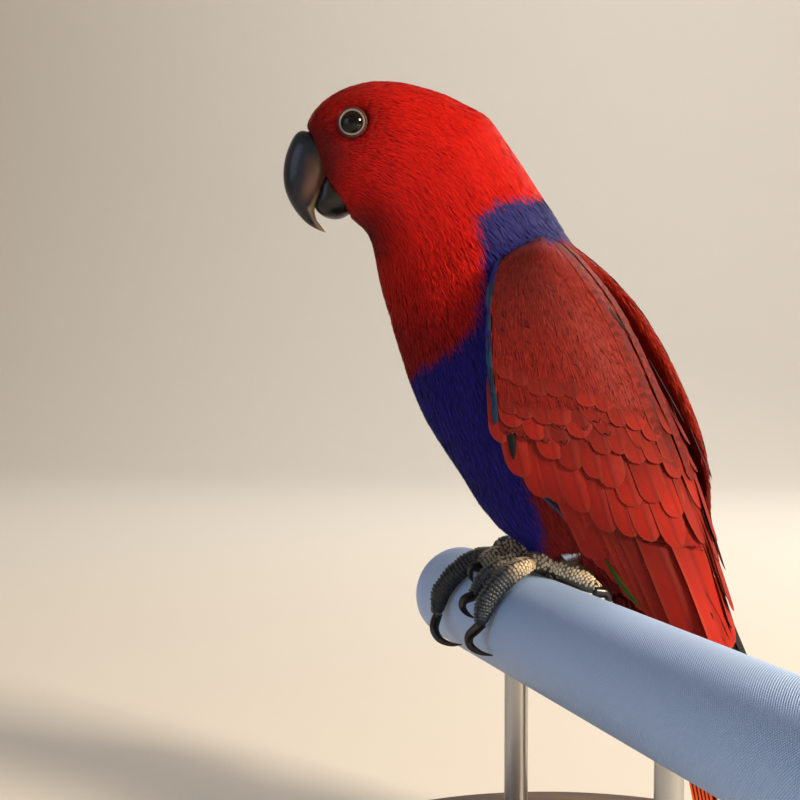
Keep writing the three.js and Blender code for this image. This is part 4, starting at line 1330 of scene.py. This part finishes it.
def horn_along(path, radii, rings=26, sides=14):
    t = np.linspace(0, 1, rings)
    line, r = catmull(path, t), catmull(radii[:, None], t)[:, 0]
    way = unit(np.gradient(line, axis=0))
    side = unit(ALONG - (way @ ALONG)[:, None] * way)
    up = np.cross(way, side)
    a = np.arange(sides) / sides * 2 * math.pi
    points = line[:, None] + (side[:, None] * np.cos(a)[None, :, None] * 0.85
                              + up[:, None] * np.sin(a)[None, :, None]) * np.maximum(r, 0.12)[:, None, None]
    i, j = (g.ravel() for g in np.meshgrid(np.arange(rings - 1), np.arange(sides), indexing="ij"))
    k = (j + 1) % sides
    faces = np.stack([i * sides + j, i * sides + k, (i + 1) * sides + k, (i + 1) * sides + j], 1)
    return points.reshape(-1, 3), faces


for word, (foot_along, _, outward, _, toes) in FOOT_PLAN.items():
    points, faces, start = [], [], 0
    for kind, stations in toes.items():
        shift, angle = stations[-1]
        heading = 1 if angle > stations[0][1] else -1
        drift = CLAW_DRIFT[word] if kind == "outer_front" else np.zeros(6)
        hidden = heading < 0 or (word, kind) == ("right", "inner_front")
        sweep = CLAW_SHARES * CLAW_SWEEP[kind] * (0.75 if hidden else 1.0)
        off = CLAW_STANDS_OFF * (0.8 if hidden else 1.0)
        path = np.array([on_rail(foot_along + outward * shift + d, angle + (a + 1) * heading, RAIL_RADIUS + o)
                         for d, a, o in zip(drift, sweep, off)])
        p, f = horn_along(path, CLAW_RADII)
        points.append(p)
        faces.append(f[:, ::-1] if heading > 0 else f)
        faces[-1] = faces[-1] + start
        start += len(p)
    claws = piece_from(word + "_claws", np.vstack(points), np.vstack(faces), claw_horn)
    only(claws)
    bpy.ops.object.mode_set(mode="EDIT")
    bpy.ops.mesh.select_all(action="SELECT")
    bpy.ops.mesh.fill_holes(sides=0)
    bpy.ops.mesh.normals_make_consistent(inside=False)
    bpy.ops.object.mode_set(mode="OBJECT")
    bpy.ops.object.shade_smooth()
    names = [n for n in nodes if n.startswith(word + "_claw")]
    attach(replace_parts(claws, *names), "root")
    print(word, "claws:", len(claws.data.polygons), "faces")

# %% [markdown]
# ## The leg band
# A bare aluminium ring sits loose on the left leg. It starts as an open cylinder, gets its
# wall from a solidify and its soft rims from a bevel. Worn aluminium is bright but not quite
# a mirror.

# %% Make the leg band
foot_along, pad, _, heel, _ = FOOT_PLAN["left"]
band_axis = unit(np.array(heel) - on_rail(foot_along, pad - 6, RAIL_RADIUS + 6))
aluminium, _, _ = material("bare aluminium", {"Base Color": rgba("D8DBDE"), "Roughness": 0.32,
                                              "Metallic": 1.0})
bpy.ops.mesh.primitive_cylinder_add(vertices=64, radius=0.0072, depth=0.0074, end_fill_type="NOTHING",
                                    location=Vector(to_frame(middle_of("leg_band") - FEET)),
                                    rotation=Vector(band_axis).to_track_quat("Z", "Y").to_euler())
band = bpy.context.object
band.name = "ring_on_leg"
bpy.ops.object.transform_apply(location=True, rotation=True, scale=True)
apply_modifier(band, "SOLIDIFY", thickness=0.0009, offset=-1.0)
apply_modifier(band, "BEVEL", width=0.0002, segments=2, limit_method="ANGLE")
smooth_by_angle(band)
band.data.materials.append(aluminium)
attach(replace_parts(band, "leg_band"), "root")
print("leg band:", len(band.data.polygons), "faces")

# %% [markdown]
# ## Rail and stand
# The rail is a coated tube with a fine knurl, cut short and capped. Each cap is a cylinder
# with a rounded outer rim. The stand is a turned wooden disc and two steel rods with
# collars. The coating scatters light softly and its knurl breaks up the highlight, brushed
# steel is a blurred mirror, and oiled wood shows its grain under a low gloss.

# %% Materials of the rail and the stand
coated, tree, shader = material("blue-grey coating", {"Base Color": rgba("A6C8F8"), "Roughness": 0.4,
                                                       "IOR": 1.5})
uv = node(tree, "ShaderNodeUVMap", {"uv_map": "Knurl"})
split = node(tree, "ShaderNodeSeparateXYZ", links={0: uv.outputs["UV"]})
KNURL_PITCH = 1.15  # millimetres, about the spacing of the dots in the photo
waves = []
for axis in ("X", "Y"):
    phase = node(tree, "ShaderNodeMath", {"operation": "MULTIPLY", 1: 2 * math.pi / KNURL_PITCH},
                 {0: split.outputs[axis]})
    waves.append(node(tree, "ShaderNodeMath", {"operation": "SINE"}, {0: phase.outputs[0]}))
dots = node(tree, "ShaderNodeMath", {"operation": "MULTIPLY"},
            {0: waves[0].outputs[0], 1: waves[1].outputs[0]})
bump = node(tree, "ShaderNodeBump", {"Strength": 0.8, "Distance": 0.0002}, {"Height": dots.outputs[0]})
tree.links.new(bump.outputs["Normal"], shader.inputs["Normal"])
cap_paint, _, _ = material("smooth blue-grey cap", {"Base Color": rgba("9FBFEE"), "Roughness": 0.42,
                                                     "IOR": 1.5})
steel, _, _ = material("brushed steel", {"Base Color": rgba("B9BBBE"), "Roughness": 0.3, "Metallic": 1.0})
wood, tree, shader = material("oiled wood", {"Roughness": 0.45, "IOR": 1.5})
place = node(tree, "ShaderNodeTexCoord")
# grain some six millimetres wide, drawn out along X
stretch = node(tree, "ShaderNodeMapping", {"Scale": (3.0, 26.0, 26.0)}, {"Vector": place.outputs["Object"]})
grain = node(tree, "ShaderNodeTexNoise", {"Scale": 6.0, "Detail": 8.0, "Distortion": 1.2},
             {"Vector": stretch.outputs["Vector"]})
ramp = node(tree, "ShaderNodeValToRGB", links={"Fac": grain.outputs["Fac"]})
ramp.color_ramp.elements[0].color, ramp.color_ramp.elements[0].position = rgba("2E1C12"), 0.35
ramp.color_ramp.elements[1].color, ramp.color_ramp.elements[1].position = rgba("5F4029"), 0.68
tree.links.new(ramp.outputs["Color"], shader.inputs["Base Color"])


# %% Rail, caps, base, rods and collars
def turned(name, radius, length, middle, axis, finish, bevel, segments, sides, node_name,
           top_only=False):
    """A cylinder along an axis, with its rims rounded, or only the rim at the axis's far end."""
    bpy.ops.mesh.primitive_cylinder_add(vertices=sides, radius=radius / 1000, depth=length / 1000,
                                        location=Vector(to_frame(middle)),
                                        rotation=Vector(axis).to_track_quat("Z", "Y").to_euler())
    made = bpy.context.object
    made.name = name
    if bevel:
        bpy.ops.object.mode_set(mode="EDIT")
        bpy.ops.mesh.select_all(action="DESELECT")
        bpy.ops.object.mode_set(mode="OBJECT")
        for face in made.data.polygons:
            face.select = abs(face.normal.z) > 0.9 and (face.center.z > 0 or not top_only)
        bpy.ops.object.mode_set(mode="EDIT")
        bpy.ops.mesh.select_mode(type="FACE")
        bpy.ops.mesh.region_to_loop()
        bpy.ops.mesh.bevel(offset=bevel / 1000, segments=segments, profile=0.5, affect="EDGES")
        bpy.ops.object.mode_set(mode="OBJECT")
    bpy.ops.object.transform_apply(location=True, rotation=True, scale=True)
    smooth_by_angle(made)
    made.data.materials.append(finish)
    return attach(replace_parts(made, node_name), "root")


rail_middle = middle_of("perch_rail") - FEET
rail_low, rail_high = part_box("perch_rail")
rail_size = np.array(rail_high - rail_low) * 1000
ends = 2 * RAIL_RADIUS * np.array([math.cos(RAIL_TURN), math.sin(RAIL_TURN), 0])
rail_length = float(np.dot(rail_size - ends, np.abs(ALONG)))
rail = turned("rail", RAIL_RADIUS, rail_length, rail_middle, ALONG, coated, 0, 0, 128, "perch_rail")
knurl = rail.data.uv_layers.new(name="Knurl")
around = 2 * math.pi * RAIL_RADIUS
for loop in rail.data.loops:
    p = to_local(np.array(rail.data.vertices[loop.vertex_index].co)) - rail_middle
    angle = math.atan2(p @ UP, p @ ACROSS) % (2 * math.pi)
    knurl.data[loop.index].uv = (angle / (2 * math.pi) * around, p @ ALONG)
for polygon in rail.data.polygons:
    corners = [knurl.data[i].uv for i in polygon.loop_indices]
    if max(c[0] for c in corners) - min(c[0] for c in corners) > around / 2 and len(corners) == 4:
        for c in corners:
            if c[0] < around / 2:
                c[0] += around
print("rail length", round(rail_length, 1))
for word, heading in (("far", -1), ("near", 1)):
    turned("rail_cap_" + word, RAIL_RADIUS, 14, middle_of("perch_cap_" + word) - FEET, ALONG * heading,
           cap_paint, 6, 8, 96, "perch_cap_" + word, top_only=True)
base_low, base_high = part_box("stand_base")
base_radius = (base_high.x - base_low.x) * 500
turned("wooden_base", base_radius, (base_high.z - base_low.z) * 1000, middle_of("stand_base") - FEET, UP,
       wood, 2.5, 5, 160, "stand_base")
for word in ("rear", "front"):
    for kind, radius, bevel, segments, sides in (("rod", 5, 0, 0, 48), ("collar", 11, 1.0, 3, 64)):
        name = "stand_" + kind + "_" + word
        low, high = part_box(name)
        turned("steel_" + kind + "_" + word, radius, (high.z - low.z) * 1000, middle_of(name) - FEET, UP,
               steel, bevel, segments, sides, name, top_only=True)
print("rail, caps and stand are in place")

# %% [markdown]
# ## Floor, light and camera
# A pale floor sweeps up into a pale backdrop. The key light is warm and comes from the right,
# a little to the camera's side, as the evening sun did. The fill and the sky are cool and weak.
# The camera stands where the rail's converging edges say the photo's camera stood.

# %% Stage
floor_z = cad_low.z
bpy.ops.mesh.primitive_plane_add(size=1, location=(0, 0.3, floor_z))
floor = bpy.context.object
floor.name = "floor"
bpy.ops.object.mode_set(mode="EDIT")
bpy.ops.mesh.select_all(action="SELECT")
bpy.ops.transform.resize(value=(9, 5.4, 1))
bpy.ops.object.mode_set(mode="OBJECT")
for edge in floor.data.edges:
    edge.select = all(floor.data.vertices[v].co.y > 0 for v in edge.vertices)
bpy.ops.object.mode_set(mode="EDIT")
bpy.ops.mesh.select_mode(type="EDGE")
bpy.ops.mesh.extrude_region_move(TRANSFORM_OT_translate={"value": (0, 0, 4.5)})
bpy.ops.object.mode_set(mode="OBJECT")
bpy.ops.object.transform_apply(location=True, rotation=True, scale=True)
apply_modifier(floor, "BEVEL", width=1.2, segments=24, limit_method="ANGLE")
bpy.ops.object.shade_smooth()
pale, _, _ = material("pale paper", {"Base Color": rgba("D9D6D0"), "Roughness": 0.9})
floor.data.materials.append(pale)
floor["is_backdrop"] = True

world = bpy.data.worlds.new("studio")
bpy.context.scene.world = world
world.use_nodes = True
world.node_tree.nodes["Background"].inputs["Color"].default_value = rgba("C3D4F6")
world.node_tree.nodes["Background"].inputs["Strength"].default_value = 0.36
target = Vector(to_frame([-10, 0, 110]))
for name, place, aim, size, power, tint in (
        ("key", (1.5, -0.62, 0.78), (0, 0, 0), 0.4, 56, "FFE9CC"),
        ("fill", (-1.3, -1.2, 0.5), (0, 0, 0), 1.2, 6, "BFD4FF"),
        ("rim", (0.7, 1.2, 1.0), (0, 0, 0), 0.8, 14, "FFF6EA"),
        ("backdrop", (0, 1.3, 1.6), (0, 3.2, 0.2), 1.8, 20, "FFFFFF")):
    bpy.ops.object.light_add(type="AREA", location=target + Vector(place))
    lamp = bpy.context.object
    lamp.name = name
    lamp.data.size = size
    lamp.data.energy = power
    lamp.data.color = rgba(tint)[:3]
    way = target + Vector(aim) - lamp.location
    lamp.rotation_euler = way.to_track_quat("-Z", "Y").to_euler()

# %% Camera
CAMERA_PLACE = [73.82, -583.46, 115.2]
CAMERA_DOWN, CAMERA_TURN = 2.17, 12.0
bpy.ops.object.camera_add(location=Vector(to_frame(CAMERA_PLACE)),
                          rotation=(math.radians(90 - CAMERA_DOWN), 0, math.radians(CAMERA_TURN)))
camera = bpy.context.object
camera.data.sensor_width = 36
camera.data.lens = 63
camera.data.clip_start = 0.02
bpy.context.scene.camera = camera
bpy.context.scene.view_settings.view_transform = "Standard"

# %% Print the size of the model
low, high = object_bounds()
print("visual from", tuple(low), "to", tuple(high))
